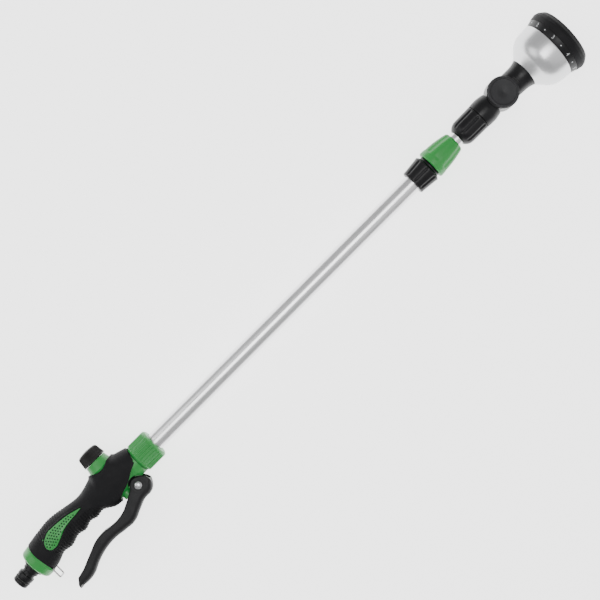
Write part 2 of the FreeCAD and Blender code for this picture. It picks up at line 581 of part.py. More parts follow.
# ---------------------------------------------------------------- tubes
def tubes():
    nut = turned("coupling_nut", [
        ("nut_x", "spigot_r+fit"), ("nut_x", "nut_r-nut_chamfer"),
        ("nut_x+nut_chamfer", "nut_r"), ("nut_x+nut_long-nut_chamfer", "nut_r"),
        ("nut_x+nut_long", "nut_r-nut_chamfer"), ("nut_x+nut_long", "tube_r+0.2"),
        ("nut_x+nut_long-lip", "tube_r+0.2"), ("nut_x+nut_long-lip", "spigot_r+fit")])
    around(nut, "Pocket", "nut_flutes", [
        ("nut_x+2.6", "nut_r-0.8"), ("nut_x+nut_long-2.6", "nut_r-0.8"),
        ("nut_x+nut_long-2.6", "nut_r+2"), ("nut_x+2.6", "nut_r+2")], "1.3", 32)
    turned("coupling_seal", [
        ("spigot_end", "spigot_way_r+0.4"), ("spigot_end", "spigot_r-0.3"),
        ("tube_x-0.02", "spigot_r-0.3"), ("tube_x-0.02", "spigot_way_r+0.4")])
    turned("tube_flange", [
        ("tube_x", "tube_r+0.03"), ("tube_x", "spigot_r-0.2"),
        ("nut_x+nut_long-lip-0.05", "spigot_r-0.2"), ("nut_x+nut_long-lip-0.05", "tube_r+0.03")])
    turned("outer_tube", [
        ("tube_x", "tube_in_r"), ("tube_x", "tube_r"), ("tube_end", "tube_r"),
        ("tube_end", "tube_in_r")])
    turned("inner_tube", [
        ("slide_x", "slide_in_r"), ("slide_x", "slide_r"), ("slide_end", "slide_r"),
        ("slide_end", "slide_in_r")])
    turned("piston_guide", [
        ("slide_x-4", "slide_in_r-1.4"), ("slide_x-4", "tube_in_r-fit"),
        ("slide_x-2.6", "tube_in_r-fit"), ("slide_x-2.6", "tube_in_r-1.2"),
        ("slide_x-0.9", "tube_in_r-1.2"), ("slide_x-0.9", "tube_in_r-fit"),
        ("slide_x-0.02", "tube_in_r-fit"), ("slide_x-0.02", "slide_in_r-0.03"),
        ("slide_x+piston_long", "slide_in_r-0.03"), ("slide_x+piston_long", "slide_in_r-1.4")])
    seal_ring("piston_o_ring", "tube_in_r-0.62", "0.55",
              ("slide_x-1.75", "tube_y", "0"), Z_TO_X)


def telescope_lock():
    end = "collar_x+collar_long"
    collar = turned("tube_collar", [
        ("collar_x", "tube_r+0.03"), ("collar_x", "collar_r-0.8"), ("collar_x+0.8", "collar_r"),
        (end + "-1.6", "collar_end_r"), (end, "collar_end_r-1.8"),
        (end, "lock_thread_r+1.2"), (end + "+2.4", "lock_thread_r+1.2"),
        (end + "+2.4", "lock_thread_r"), (end + "+lock_long", "lock_thread_r"),
        (end + "+lock_long", "slide_r+2.4"), (end + "+4", "slide_r+1.8"),
        (end + "+4", "slide_r+0.3"), ("tube_end+0.05", "slide_r+0.3"),
        ("tube_end+0.05", "tube_r+0.03")])
    around(collar, "Pocket", "collar_grooves", [
        ("collar_x+1.6", "collar_r-0.75"), (end + "-2.6", "collar_end_r-0.8"),
        (end + "-2.6", "collar_end_r+2"), ("collar_x+1.6", "collar_end_r+2")], "2.2", 8)
    collet = turned("lock_collet", [
        (end + "+5.6", "slide_r+fit"), (end + "+5.6", "slide_r+1.75"),
        (end + "+lock_long+0.1", "slide_r+2.2"), (end + "+lock_long+0.1", "lock_thread_r-0.4"),
        (end + "+lock_long+2.5", "lock_thread_r-0.4"), (end + "+lock_long+7", "slide_r+1.2"),
        (end + "+lock_long+7", "slide_r+fit")])
    slit = draw_outline(new_sketch(collet, "collet_slit_sketch"), [
        (end + "+8", "slide_r-1"), (end + "+lock_long+9", "slide_r-1"),
        (end + "+lock_long+9", "lock_thread_r+1"), (end + "+8", "lock_thread_r+1")])
    feature = feature_from(collet, "Pocket", "collet_slit", slit, "1")
    pattern(collet, feature, "collet_slits", 4)
    seal_ring("lock_o_ring", "slide_r+0.06+0.7", "0.7", (end + "+4.8", "tube_y", "0"), Z_TO_X)
    clamp = turned("clamp_nut", [
        ("clamp_x", "lock_thread_r+0.09"), ("clamp_x", "clamp_r-1"), ("clamp_x+1", "clamp_r"),
        ("clamp_x+12", "clamp_r-0.5"), ("clamp_x+clamp_long-1.6", "clamp_end_r+0.9", "-110"),
        ("clamp_x+clamp_long", "clamp_end_r-0.6"), ("clamp_x+clamp_long", "slide_r+0.4"),
        ("clamp_x+clamp_long-5.4", "slide_r+0.4"), ("clamp_x+19", "lock_thread_r+0.09")])
    around(clamp, "Pocket", "clamp_flutes", [
        ("clamp_x+6", "clamp_r-0.9"), ("clamp_x+12", "clamp_r-1.6"),
        ("clamp_x+clamp_long-2.4", "clamp_end_r+0.2", "-110"), ("clamp_x+clamp_long-2.4", "clamp_r+3"),
        ("clamp_x+6", "clamp_r+3")], "4.4", 8)


# ---------------------------------------------------------------- union and tilt joint
def union():
    nut = turned("union_nut", [
        ("union_x", "slide_r+0.2"), ("union_x", "union_tip_r"),
        ("union_x+9", "union_r-0.2", "-12"), ("union_x+union_long", "union_r"),
        ("union_x+union_long", "union_thread_r+fit"), ("union_x+8", "union_thread_r+fit"),
        ("union_x+8", "slide_r+0.2")])
    around(nut, "Pocket", "union_flutes", [
        ("union_x+5", "union_r-1.6"), ("union_x+union_long-1.2", "union_r-0.7"),
        ("union_x+union_long-1.2", "union_r+2"), ("union_x+5", "union_r+2")], "2.4", 8)
    turned("slide_flange", [
        ("union_x+8.05", "slide_r+0.03"), ("union_x+8.05", "union_thread_r-0.3"),
        ("slide_end", "union_thread_r-0.3"), ("slide_end", "slide_r+0.03")])
    turned("union_seal", [
        ("slide_end+0.02", "slide_in_r-0.6"), ("slide_end+0.02", "union_thread_r-0.5"),
        ("pivot_x+union_thread_back-0.02", "union_thread_r-0.5"),
        ("pivot_x+union_thread_back-0.02", "slide_in_r-0.6")])


def drum(name, low, radius="drum_r", tall="drum_half-drum_gap"):
    """Half of the tilt joint's drum, standing on the pivot axis."""
    return rod(name, radius, tall, ("pivot_x", "tube_y", low))


def tilt_joint():
    stem = turned("joint_stem", [
        ("union_thread_back", "0"), ("union_thread_back", "union_thread_r"),
        ("joint_back", "union_thread_r"), ("joint_back", "joint_r"), ("-22", "joint_r+0.4", "-60"),
        ("-14.2", "joint_r-1.1", "-60"), ("-14.2", "0")], *ON_JOINT, kept=False)
    scoop = drum("stem_scoop", "-drum_gap", "drum_r+gap", "drum_half+10")
    clearance_below = drum("stem_trim", "-drum_half-20", "drum_r+2", "20")
    lower_drum = drum("lower_drum", "-drum_half")
    inlet_way = rod("joint_inlet_way", "6.4", "20", ("pivot_x+union_thread_back-1", "tube_y", "0"), Z_TO_X)
    side_way = rod("joint_side_way", "joint_way_r", "30",
                   ("pivot_x-32", "tube_y", "-joint_way_z"), Z_TO_X)
    lower_cavity = drum("lower_cavity", "-drum_half+2.2", "10.6", "drum_half")
    lower_post = drum("lower_post", "-drum_half+1", "bolt_r+1.6", "drum_half-1-drum_gap")
    bolt_way = drum("bolt_way", "-40", "bolt_r+fit", "80")
    groove = rod("face_groove", "12.9", "1.9", ("pivot_x", "tube_y", "-2.1"))
    groove_core = rod("face_groove_core", "11.2", "1.9", ("pivot_x", "tube_y", "-2.1"))
    groove_ring = joined("cut", "groove_ring", [groove, groove_core])
    blank = joined("fuse", "lower_blank", [joined("cut", "stem_cut", [stem, scoop]), lower_drum])
    hollow = joined("cut", "lower_hollow", [
        blank, inlet_way, side_way, lower_cavity, groove_ring, clearance_below])
    lower = joined("cut", "joint_lower", [joined("fuse", "lower_posted", [hollow, lower_post]), bolt_way])
    keep(lower, "joint_lower")

    neck = turned("neck_form", [
        ("8.4", "0"), ("8.4", "neck_r-0.4"), ("22", "neck_r"), ("neck_end", "neck_end_r", "30"),
        ("neck_end", "11.8"), ("neck_end+6", "11.8"), ("neck_end+6", "0")], *ON_HEAD, kept=False)
    neck_scoop = drum("neck_scoop", "-drum_half-10", "drum_r+gap", "drum_half+10+drum_gap")
    upper_drum = drum("upper_drum", "drum_gap")
    neck_trim = drum("neck_trim", "drum_half", "drum_r+2", "20")
    tilt = ON_HEAD[1]
    neck_way = rod("neck_way", "8.4", "12",
                   ("pivot_x+(neck_end-5)*cos(head_droop)", "tube_y-(neck_end-5)*sin(head_droop)", "0"),
                   tilt.multiply(Z_TO_X))
    upper_side_way = rod("upper_side_way", "joint_way_r", "30",
                         ("pivot_x", "tube_y", "joint_way_z"), tilt.multiply(Z_TO_X))
    upper_cavity = drum("upper_cavity", "0", "10.6", "drum_half-2.2")
    upper_post = drum("upper_post", "drum_gap", "bolt_r+1.6", "drum_half-1-drum_gap")
    upper_blank = joined("fuse", "upper_blank", [joined("cut", "neck_cut", [neck, neck_scoop]), upper_drum])
    upper_hollow = joined("cut", "upper_hollow", [
        upper_blank, neck_way, upper_side_way, upper_cavity, neck_trim])
    upper = joined("cut", "joint_upper", [
        joined("fuse", "upper_posted", [upper_hollow, upper_post]), bolt_way])
    keep(upper, "joint_upper")

    seal_ring("joint_o_ring", "12.05", "0.82", ("pivot_x", "tube_y", "-0.2-0.82+0.3"), STRAIGHT)
    turned("pivot_bolt", [
        ("-drum_half+0.9", "0"), ("-drum_half+0.9", "bolt_r"), ("drum_half-1.6", "bolt_r"),
        ("drum_half-1.6", "1.2"), ("drum_half-1.3", "0")], *joint_axis())
    for label, side in (("pivot_cap_front", 1), ("pivot_cap_back", -1)):
        low = "drum_half+0.03"
        cap = [(low, "0"), (low, "cap_r-0.4"), ("drum_half+0.5", "cap_r"),
               ("drum_half+cap_thick-1.2", "cap_r"), ("drum_half+cap_thick", "cap_r-1.2", "-1.2"),
               ("drum_half+cap_thick", "cap_r-2.4"), ("drum_half+cap_thick-0.5", "cap_r-2.9"),
               ("drum_half+cap_thick-0.9", "0", "-160")]
        turned(label, cap, ON_JOINT[0], FreeCAD.Rotation(V(0, 1, 0), -90 * side))


def joint_axis():
    return ON_JOINT[0], ALONG_Z


# ---------------------------------------------------------------- spray head
def spray_head():
    turned("bell_shell", [
        ("neck_end", "11.9"), ("neck_end", "neck_end_r"), ("neck_end+9", "25.1", "90"),
        ("neck_end+21", "30.9", "-20"), ("bell_end", "bell_r", "-90"),
        ("bell_end", "bell_r-bell_wall"), ("neck_end+21", "29"), ("neck_end+10", "23.6", "20"),
        ("neck_end+2.2", "14.8"), ("neck_end+2.2", "11.9")], *ON_HEAD)
    turned("neck_gasket", [
        ("neck_end+2.25", "11.9"), ("neck_end+2.25", "14.6"), ("neck_end+4", "14.6"),
        ("neck_end+4", "11.9")], *ON_HEAD)
    turned("neck_lock_ring", [
        ("neck_end+4.05", "11.86"), ("neck_end+4.05", "14.6"), ("neck_end+5.8", "14.2"),
        ("neck_end+5.8", "11.86")], *ON_HEAD)
    plate_x = "bell_end-6"
    flow_plate = turned("flow_plate", [
        (plate_x, "0"), (plate_x, "bell_r-bell_wall-0.6"), (plate_x + "+3", "bell_r-bell_wall-0.6"),
        (plate_x + "+3", "6"), (plate_x + "+6", "6"), (plate_x + "+6", "0")], *ON_HEAD)
    holes(flow_plate, "flow_outlet", size("nozzle_pitch_r"), 2.6, 1, 90)
    holes(flow_plate, "detent_pocket", 22.0, 1.7, 1, 0)
    screw_bore = new_sketch(flow_plate, "screw_bore_sketch", "YZ_Plane")
    screw_bore.addGeometry(Part.Circle(V(0, 0, 0), V(0, 0, 1), size("screw_r+0.03")), False)
    screw_bore.addConstraint(Sketcher.Constraint("Coincident", 0, 3, -1, 1))
    screw_bore.addConstraint(Sketcher.Constraint("Radius", 0, size("screw_r+0.03")))
    feature_from(flow_plate, "Pocket", "screw_bore", screw_bore, "1", through=True)

    seal_at = ("pivot_x+(%s+3.05)*cos(head_droop)" % plate_x,
               "tube_y-(%s+3.05)*sin(head_droop)" % plate_x, "nozzle_pitch_r")
    seal = turned("outlet_seal", [
        ("0", "2.6"), ("0", "4.2"), ("2.9", "3.9"), ("2.9", "2.6")], seal_at, ON_HEAD[1])
    seal.Label = "outlet_seal"
    ball = DOC.addObject("Part::Sphere", "detent_sphere")
    ball.Radius = 1.6
    reach = "(%s+2.6)" % plate_x
    place(ball, ("pivot_x+%s*cos(head_droop)+22*sin(head_droop)" % reach,
                 "tube_y-%s*sin(head_droop)+22*cos(head_droop)" % reach, "0"))
    keep(ball, "detent_ball")

    ring = turned("selector_ring", [
        ("bell_end+gap", "bell_r-bell_wall"), ("bell_end+gap", "bell_r-0.3"),
        ("band_end", "band_r"), ("band_end", "ring_in_r+1"), ("face_x", "ring_in_r+1"),
        ("face_x", "ring_in_r"), ("bell_end+5.4", "ring_in_r"), ("bell_end+5.4", "8.5"),
        ("bell_end+3.2", "8.5"), ("bell_end+3.2", "bell_r-bell_wall")], *ON_HEAD)
    holes(ring, "selector_ways", size("nozzle_pitch_r"), 2.8, 10, 90)
    turned("bumper_ring", [
        ("band_end+0.05", "ring_in_r+1.05"), ("band_end+0.05", "band_r+0.3"),
        ("band_end+6", "bumper_r", "-24"), ("band_end+9.5", "bumper_r-0.9", "-7"),
        ("front", "bumper_r-4.2"), ("front", "ring_in_r+0.1"), ("face_x+0.1", "ring_in_r+0.1"),
        ("face_x+0.1", "ring_in_r+1.05")], *ON_HEAD)
    face = turned("face_ring", [
        ("recess_x", "disc_r+0.1"), ("recess_x", "recess_r"), ("face_x-0.8", "recess_r"),
        ("face_x", "recess_r+0.8"), ("face_x", "ring_in_r-0.1"), ("bell_end+5.45", "ring_in_r-0.1"),
        ("bell_end+5.45", "disc_r+0.1")], *ON_HEAD)
    around(face, "Pad", "face_ribs", [
        ("recess_x-0.5", "recess_r-1.3"), ("face_x-3.2", "recess_r-1.3"),
        ("face_x-3.2", "recess_r+0.5"), ("recess_x-0.5", "recess_r+0.5")], "1", 24)
    disc = turned("pattern_disc", [
        ("bell_end+5.45", "8.6"), ("bell_end+5.45", "disc_r"), ("face_x-0.6", "disc_r"),
        ("face_x", "disc_r-0.6"), ("face_x", "9.3"), ("face_x+0.7", "8.9"), ("face_x+0.7", "5.8"),
        ("face_x-1.2", "5.8"), ("face_x-1.2", "screw_r+0.07"), ("face_x-3.2", "screw_r+0.07"),
        ("face_x-3.2", "8.6")], *ON_HEAD)
    holes(disc, "nozzle_pockets", size("nozzle_pitch_r"), size("nozzle_r"), 10, 90)
    nozzle_inserts()
    turned("centre_screw", [
        (plate_x + "+1", "0"), (plate_x + "+1", "screw_r"), ("face_x-1.15", "screw_r"),
        ("face_x-1.15", "screw_head_r"), ("face_x+0.4", "screw_head_r"),
        ("face_x+1.5", "screw_head_r-1.6", "2.4"), ("face_x+1.5", "0")], *ON_HEAD)


def nozzle_inserts():
    """One group of small nozzles, each pressed into a pocket of the pattern disc."""
    nozzles = []
    start = size("face_x") - 3.0
    outer = size("nozzle_r") - 0.03
    for number, bore_r in enumerate((1.2, 2.4, 0.6, 1.8, 0.9, 2.7, 1.5, 2.1, 0.8, 1.0)):
        angle = math.radians(90 + 36 * number)
        centre = V(start, size("nozzle_pitch_r") * math.cos(angle), size("nozzle_pitch_r") * math.sin(angle))
        body = Part.makeCylinder(outer, 2.2, centre, V(1, 0, 0))
        bore = Part.makeCylinder(bore_r, 4, centre - V(1, 0, 0), V(1, 0, 0))
        nozzles.append(body.cut(bore))
    group = DOC.addObject("Part::Feature", "nozzle_group")
    group.Shape = Part.makeCompound(nozzles)
    place(group, *ON_HEAD)
    keep(group, "nozzle_inserts")


# ---------------------------------------------------------------- build and write
def check_document():
    DOC.recompute()
    failed = [item.Name for item in DOC.Objects if {"Invalid", "Error"} & set(item.State)]
    for item in PARTS:
        if item.Shape.isNull() or not item.Shape.isValid() or item.Shape.Volume <= 0:
            failed.append(item.Label)
    if failed:
        raise RuntimeError("failed objects: " + ", ".join(failed))


def write_parts():
    os.makedirs("parts", exist_ok=True)
    for item in PARTS:
        item.Shape.exportStep("parts/%s.step" % item.Label)
        box = item.Shape.BoundBox
        print("%-18s solids %2d volume %9.1f x %7.2f..%7.2f y %6.2f..%6.2f z %6.2f..%6.2f" % (
            item.Label, len(item.Shape.Solids), item.Shape.Volume, box.XMin, box.XMax,
            box.YMin, box.YMax, box.ZMin, box.ZMax))


hose_connector()
handle()
valve()
knob()
lever()
lock_bail()
tubes()
telescope_lock()
union()
tilt_joint()
spray_head()
check_document()
write_parts()
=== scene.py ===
"""Watering wand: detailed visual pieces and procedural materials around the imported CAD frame."""
import bisect
import json
import math

import bpy
from mathutils import Matrix, Vector


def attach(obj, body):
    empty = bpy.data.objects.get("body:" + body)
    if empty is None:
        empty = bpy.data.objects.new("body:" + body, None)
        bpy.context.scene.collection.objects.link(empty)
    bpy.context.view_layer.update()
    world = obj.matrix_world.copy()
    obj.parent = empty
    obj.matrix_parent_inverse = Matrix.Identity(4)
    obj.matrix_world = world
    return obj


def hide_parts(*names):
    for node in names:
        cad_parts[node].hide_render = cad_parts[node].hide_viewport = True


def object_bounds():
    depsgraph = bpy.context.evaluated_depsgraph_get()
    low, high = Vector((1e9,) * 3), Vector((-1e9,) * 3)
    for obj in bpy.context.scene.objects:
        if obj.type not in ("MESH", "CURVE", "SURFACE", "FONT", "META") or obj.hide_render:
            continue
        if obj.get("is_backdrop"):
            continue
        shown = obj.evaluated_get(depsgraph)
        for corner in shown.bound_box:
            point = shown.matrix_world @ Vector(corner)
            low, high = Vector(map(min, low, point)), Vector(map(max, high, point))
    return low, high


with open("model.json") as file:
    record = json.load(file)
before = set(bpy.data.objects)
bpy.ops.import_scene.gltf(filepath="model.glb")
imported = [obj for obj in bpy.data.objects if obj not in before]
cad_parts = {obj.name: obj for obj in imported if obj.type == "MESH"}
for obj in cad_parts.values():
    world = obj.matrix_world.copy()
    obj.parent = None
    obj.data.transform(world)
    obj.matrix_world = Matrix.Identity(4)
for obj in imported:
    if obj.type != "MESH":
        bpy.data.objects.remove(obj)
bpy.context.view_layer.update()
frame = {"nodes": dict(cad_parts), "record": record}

MM = 0.001
TAU = 2 * math.pi

# ---------------------------------------------------------------- places, in millimetres
TUBE_Y = 3.2
VALVE_X = 130.0
PIN = (144.5, -15.3)
PIVOT_X = 676.5
CONNECTOR_DROOP = math.radians(3.9)
HEAD_DROOP = math.radians(2.0)


def turned_frame(x, y, z, angle=0.0):
    """Millimetre frame whose X axis is the row's X axis turned by angle about +Z."""
    return Matrix.Translation(Vector((x, y, z)) * MM) @ Matrix.Rotation(angle, 4, "Z") @ Matrix.Scale(MM, 4)


ON_ROW = turned_frame(0, 0, 0)
ON_TUBE = turned_frame(0, TUBE_Y, 0)
ON_CONNECTOR = turned_frame(0, 0, 0, CONNECTOR_DROOP)
ON_HEAD = turned_frame(PIVOT_X, TUBE_Y, 0, -HEAD_DROOP)
ON_KNOB = turned_frame(VALVE_X, 0, 0, math.pi / 2)
ON_PIVOT_UP = turned_frame(PIVOT_X, TUBE_Y, 0) @ Matrix.Rotation(-math.pi / 2, 4, "Y")
ON_PIVOT_DOWN = turned_frame(PIVOT_X, TUBE_Y, 0) @ Matrix.Rotation(math.pi / 2, 4, "Y")
ON_PIN = turned_frame(*PIN, 0)
ON_PIN_UP = ON_PIN @ Matrix.Rotation(-math.pi / 2, 4, "Y")
ON_PIN_DOWN = ON_PIN @ Matrix.Rotation(math.pi / 2, 4, "Y")


# ---------------------------------------------------------------- small mathematics
def clamp(value, low=0.0, high=1.0):
    return max(low, min(high, value))


def smooth(low, high, value):
    """0 below low, 1 above high, with a soft rise between."""
    part = clamp((value - low) / (high - low))
    return part * part * (3 - 2 * part)


def arc_points(start, end, radius, steps):
    """Points after start up to end; the arc's centre lies left (radius > 0) or right of the way."""
    if not radius:
        return [end]
    sx, sy = start
    ex, ey = end
    chord = math.hypot(ex - sx, ey - sy)
    height = math.sqrt(max(radius * radius - chord * chord / 4, 0.0))
    side = math.copysign(height, radius) / chord
    cx = (sx + ex) / 2 - (ey - sy) * side
    cy = (sy + ey) / 2 + (ex - sx) * side
    first = math.atan2(sy - cy, sx - cx)
    sweep = (math.atan2(ey - cy, ex - cx) - first + math.pi) % TAU - math.pi
    turn = [first + sweep * k / steps for k in range(1, steps)]
    return [(cx + abs(radius) * math.cos(a), cy + abs(radius) * math.sin(a)) for a in turn] + [end]


def sample_path(outline, steps=8):
    """Open path through (x, y[, radius]) points as a list of (x, y)."""
    path = [outline[0][:2]]
    for item in outline[1:]:
        radius = item[2] if len(item) > 2 else 0
        path += arc_points(path[-1], item[:2], radius, steps)
    return path


def rounded(outline, radius, steps=4):
    """Closed outline with every sharp corner rounded, by no more than its edges allow."""
    points = sample_path(list(outline) + [outline[0]])[:-1]
    result = []
    count = len(points)
    for k, here in enumerate(points):
        before, after = points[k - 1], points[(k + 1) % count]
        a = Vector((before[0] - here[0], before[1] - here[1]))
        b = Vector((after[0] - here[0], after[1] - here[1]))
        la, lb = a.length, b.length
        if la < 1e-6 or lb < 1e-6:
            continue
        turn = math.pi - a.angle(b)
        on_axis = abs(here[1]) < 1e-6
        if turn < math.radians(14) or on_axis:
            result.append(here)
            continue
        reach = min(radius * math.tan(turn / 2), 0.45 * la, 0.45 * lb)
        start = Vector(here) + a.normalized() * reach
        end = Vector(here) + b.normalized() * reach
        for s in range(steps + 1):
            t = s / steps
            point = start * (1 - t) ** 2 + Vector(here) * 2 * t * (1 - t) + end * t * t
            result.append((point.x, point.y))
    return result


def densified(points, step):
    """Closed list of points with none further apart than step."""
    result = []
    for k, here in enumerate(points):
        after = points[(k + 1) % len(points)]
        parts = max(1, math.ceil(math.dist(here, after) / step))
        result += [(here[0] + (after[0] - here[0]) * j / parts, here[1] + (after[1] - here[1]) * j / parts)
                   for j in range(parts)]
    return result


# ---------------------------------------------------------------- pieces
def make_piece(name, vertices, faces, material, body, stands_for=(), to_row=Matrix.Identity(4)):
    mesh = bpy.data.meshes.new(name)
    mesh.from_pydata([to_row @ Vector(v) for v in vertices], [], faces)
    mesh.validate()
    mesh.polygons.foreach_set("use_smooth", [True] * len(mesh.polygons))
    mesh.materials.append(material)
    mesh.update()
    piece = bpy.data.objects.new(name, mesh)
    bpy.context.scene.collection.objects.link(piece)
    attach(piece, body)
    if stands_for:
        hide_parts(*stands_for)
    return piece


def ring_faces(rings, count, closed_rings=True, base=0, flip=False):
    """Quads between successive rings of count vertices."""
    faces = []
    pairs = rings if closed_rings else rings - 1
    for i in range(pairs):
        j = (i + 1) % rings
        for k in range(count):
            n = (k + 1) % count
            quad = (base + i * count + k, base + i * count + n, base + j * count + n, base + j * count + k)
            faces.append(quad[::-1] if flip else quad)
    return faces


def lathe(name, outline, material, body, stands_for=(), to_row=ON_TUBE,
          corner=0.35, segments=144, relief=None, step=None, smoothed=True):
    """Turn a closed (x, r) section about X; relief(x, r, angle) adds to the radius."""
    section = rounded(outline, corner) if smoothed else list(outline)
    if step:
        section = densified(section, step)
    vertices, faces, rows = [], [], []
    for x, r in section:
        if r < 1e-6:
            rows.append([len(vertices)] * segments)
            vertices.append((x, 0, 0))
            continue
        row = []
        for k in range(segments):
            angle = TAU * k / segments
            radius = r + (relief(x, r, angle) if relief else 0.0)
            row.append(len(vertices))
            vertices.append((x, radius * math.cos(angle), radius * math.sin(angle)))
        rows.append(row)
    for i, row in enumerate(rows):
        after = rows[(i + 1) % len(rows)]
        for k in range(segments):
            n = (k + 1) % segments
            loop = []
            for index in (row[k], after[k], after[n], row[n]):
                if index not in loop:
                    loop.append(index)
            if len(loop) > 2:
                faces.append(loop)
    return make_piece(name, vertices, faces, material, body, stands_for, to_row)


def flutes(count, depth, start, end, inner, sharp=1.0, fade=1.2, phase=0.0):
    """Relief of count grooves between two stations, on the surface outside radius inner."""
    def relief(x, r, angle):
        if r < inner(x) if callable(inner) else r < inner:
            return 0.0
        along = smooth(start, start + fade, x) * (1 - smooth(end - fade, end, x))
        wave = 0.5 - 0.5 * math.cos(count * (angle + phase))
        return -depth * along * (1 - wave) ** sharp
    return relief


# ---------------------------------------------------------------- materials
def node_material(name):
    material = bpy.data.materials.new(name)
    material.use_nodes = True
    tree = material.node_tree
    shader = tree.nodes["Principled BSDF"]
    return material, tree, shader


def noise(tree, scale, detail=3.0, rough=0.5, stretch=(1, 1, 1)):
    where = tree.nodes.new("ShaderNodeTexCoord")
    mapping = tree.nodes.new("ShaderNodeMapping")
    mapping.inputs["Scale"].default_value = stretch
    texture = tree.nodes.new("ShaderNodeTexNoise")
    texture.inputs["Scale"].default_value = scale
    texture.inputs["Detail"].default_value = detail
    texture.inputs["Roughness"].default_value = rough
    tree.links.new(where.outputs["Object"], mapping.inputs["Vector"])
    tree.links.new(mapping.outputs["Vector"], texture.inputs["Vector"])
    return texture.outputs["Fac"]


def ramp(tree, source, stops):
    node = tree.nodes.new("ShaderNodeValToRGB")
    elements = node.color_ramp.elements
    while len(elements) < len(stops):
        elements.new(0.5)
    for element, (place, colour) in zip(elements, stops):
        element.position = place
        element.color = (*colour, 1.0) if len(colour) == 3 else colour
    tree.links.new(source, node.inputs["Fac"])
    return node.outputs["Color"]


def shade(colour, factor):
    return tuple(clamp(c * factor) for c in colour)


def grey(value):
    return (value, value, value)


def bump(tree, shader, source, strength, distance, before=None):
    node = tree.nodes.new("ShaderNodeBump")
    node.inputs["Strength"].default_value = strength
    node.inputs["Distance"].default_value = distance
    tree.links.new(source, node.inputs["Height"])
    if before is not None:
        tree.links.new(before, node.inputs["Normal"])
    tree.links.new(node.outputs["Normal"], shader.inputs["Normal"])
    return node.outputs["Normal"]


def edge_wear(tree, low=0.52, high=0.62):
    """1 on worn convex edges, broken up by noise."""
    geometry = tree.nodes.new("ShaderNodeNewGeometry")
    edges = ramp(tree, geometry.outputs["Pointiness"], [(low, grey(0)), (high, grey(1))])
    speckle = ramp(tree, noise(tree, 700, 4), [(0.42, grey(0)), (0.62, grey(1))])
    mix = tree.nodes.new("ShaderNodeMix")
    mix.data_type = "RGBA"
    mix.blend_type = "MULTIPLY"
    mix.inputs["Factor"].default_value = 1.0
    tree.links.new(edges, mix.inputs["A"])
    tree.links.new(speckle, mix.inputs["B"])
    return mix.outputs["Result"]


def blend_colours(tree, factor, first, second):
    mix = tree.nodes.new("ShaderNodeMix")
    mix.data_type = "RGBA"
    tree.links.new(factor, mix.inputs["Factor"])
    for socket, value in (("A", first), ("B", second)):
        if hasattr(value, "is_linked"):
            tree.links.new(value, mix.inputs[socket])
        else:
            mix.inputs[socket].default_value = (*value, 1.0)
    return mix.outputs["Result"]


def plastic(name, colour, rough, grain=900.0, grain_depth=0.00002, coat=0.0, vary=0.12, wear=0.25, cloud=30.0,
            gleam=0.4):
    """Moulded plastic: faint colour clouds, fine spark grain, uneven gloss, lighter worn edges."""
    material, tree, shader = node_material(name)
    tones = [(0.3, shade(colour, 1 - vary)), (0.7, shade(colour, 1 + vary))]
    clouds = ramp(tree, noise(tree, cloud, 4), tones)
    lighter = tuple(clamp(c * 1.35 + 0.02) for c in colour)
    faint = tree.nodes.new("ShaderNodeMath")
    faint.operation = "MULTIPLY"
    faint.inputs[1].default_value = wear
    tree.links.new(edge_wear(tree), faint.inputs[0])
    tree.links.new(blend_colours(tree, faint.outputs[0], clouds, lighter), shader.inputs["Base Color"])
    glosses = [(0.25, grey(clamp(rough - 0.05))), (0.75, grey(clamp(rough + 0.07)))]
    gloss = ramp(tree, noise(tree, 160, 5), glosses)
    tree.links.new(gloss, shader.inputs["Roughness"])
    bump(tree, shader, noise(tree, grain, 2), 0.5, grain_depth)
    shader.inputs["Coat Weight"].default_value = coat
    shader.inputs["Coat Roughness"].default_value = 0.18
    shader.inputs["Specular IOR Level"].default_value = gleam
    return material


def metal(name, colour, rough, stretch=(1, 1, 1), scale=60.0, depth=0.00001, metallic=1.0, spread=0.05):
    """Metal with drawn or satin scratches along one direction."""
    material, tree, shader = node_material(name)
    lines = noise(tree, scale, 6, 0.65, stretch)
    tone = ramp(tree, lines, [(0.3, shade(colour, 0.95)), (0.7, shade(colour, 1.03))])
    tree.links.new(tone, shader.inputs["Base Color"])
    gloss = ramp(tree, lines, [(0.2, grey(clamp(rough - spread))), (0.8, grey(clamp(rough + spread)))])
    tree.links.new(gloss, shader.inputs["Roughness"])
    bump(tree, shader, lines, 0.4, depth)
    shader.inputs["Metallic"].default_value = metallic
    return material


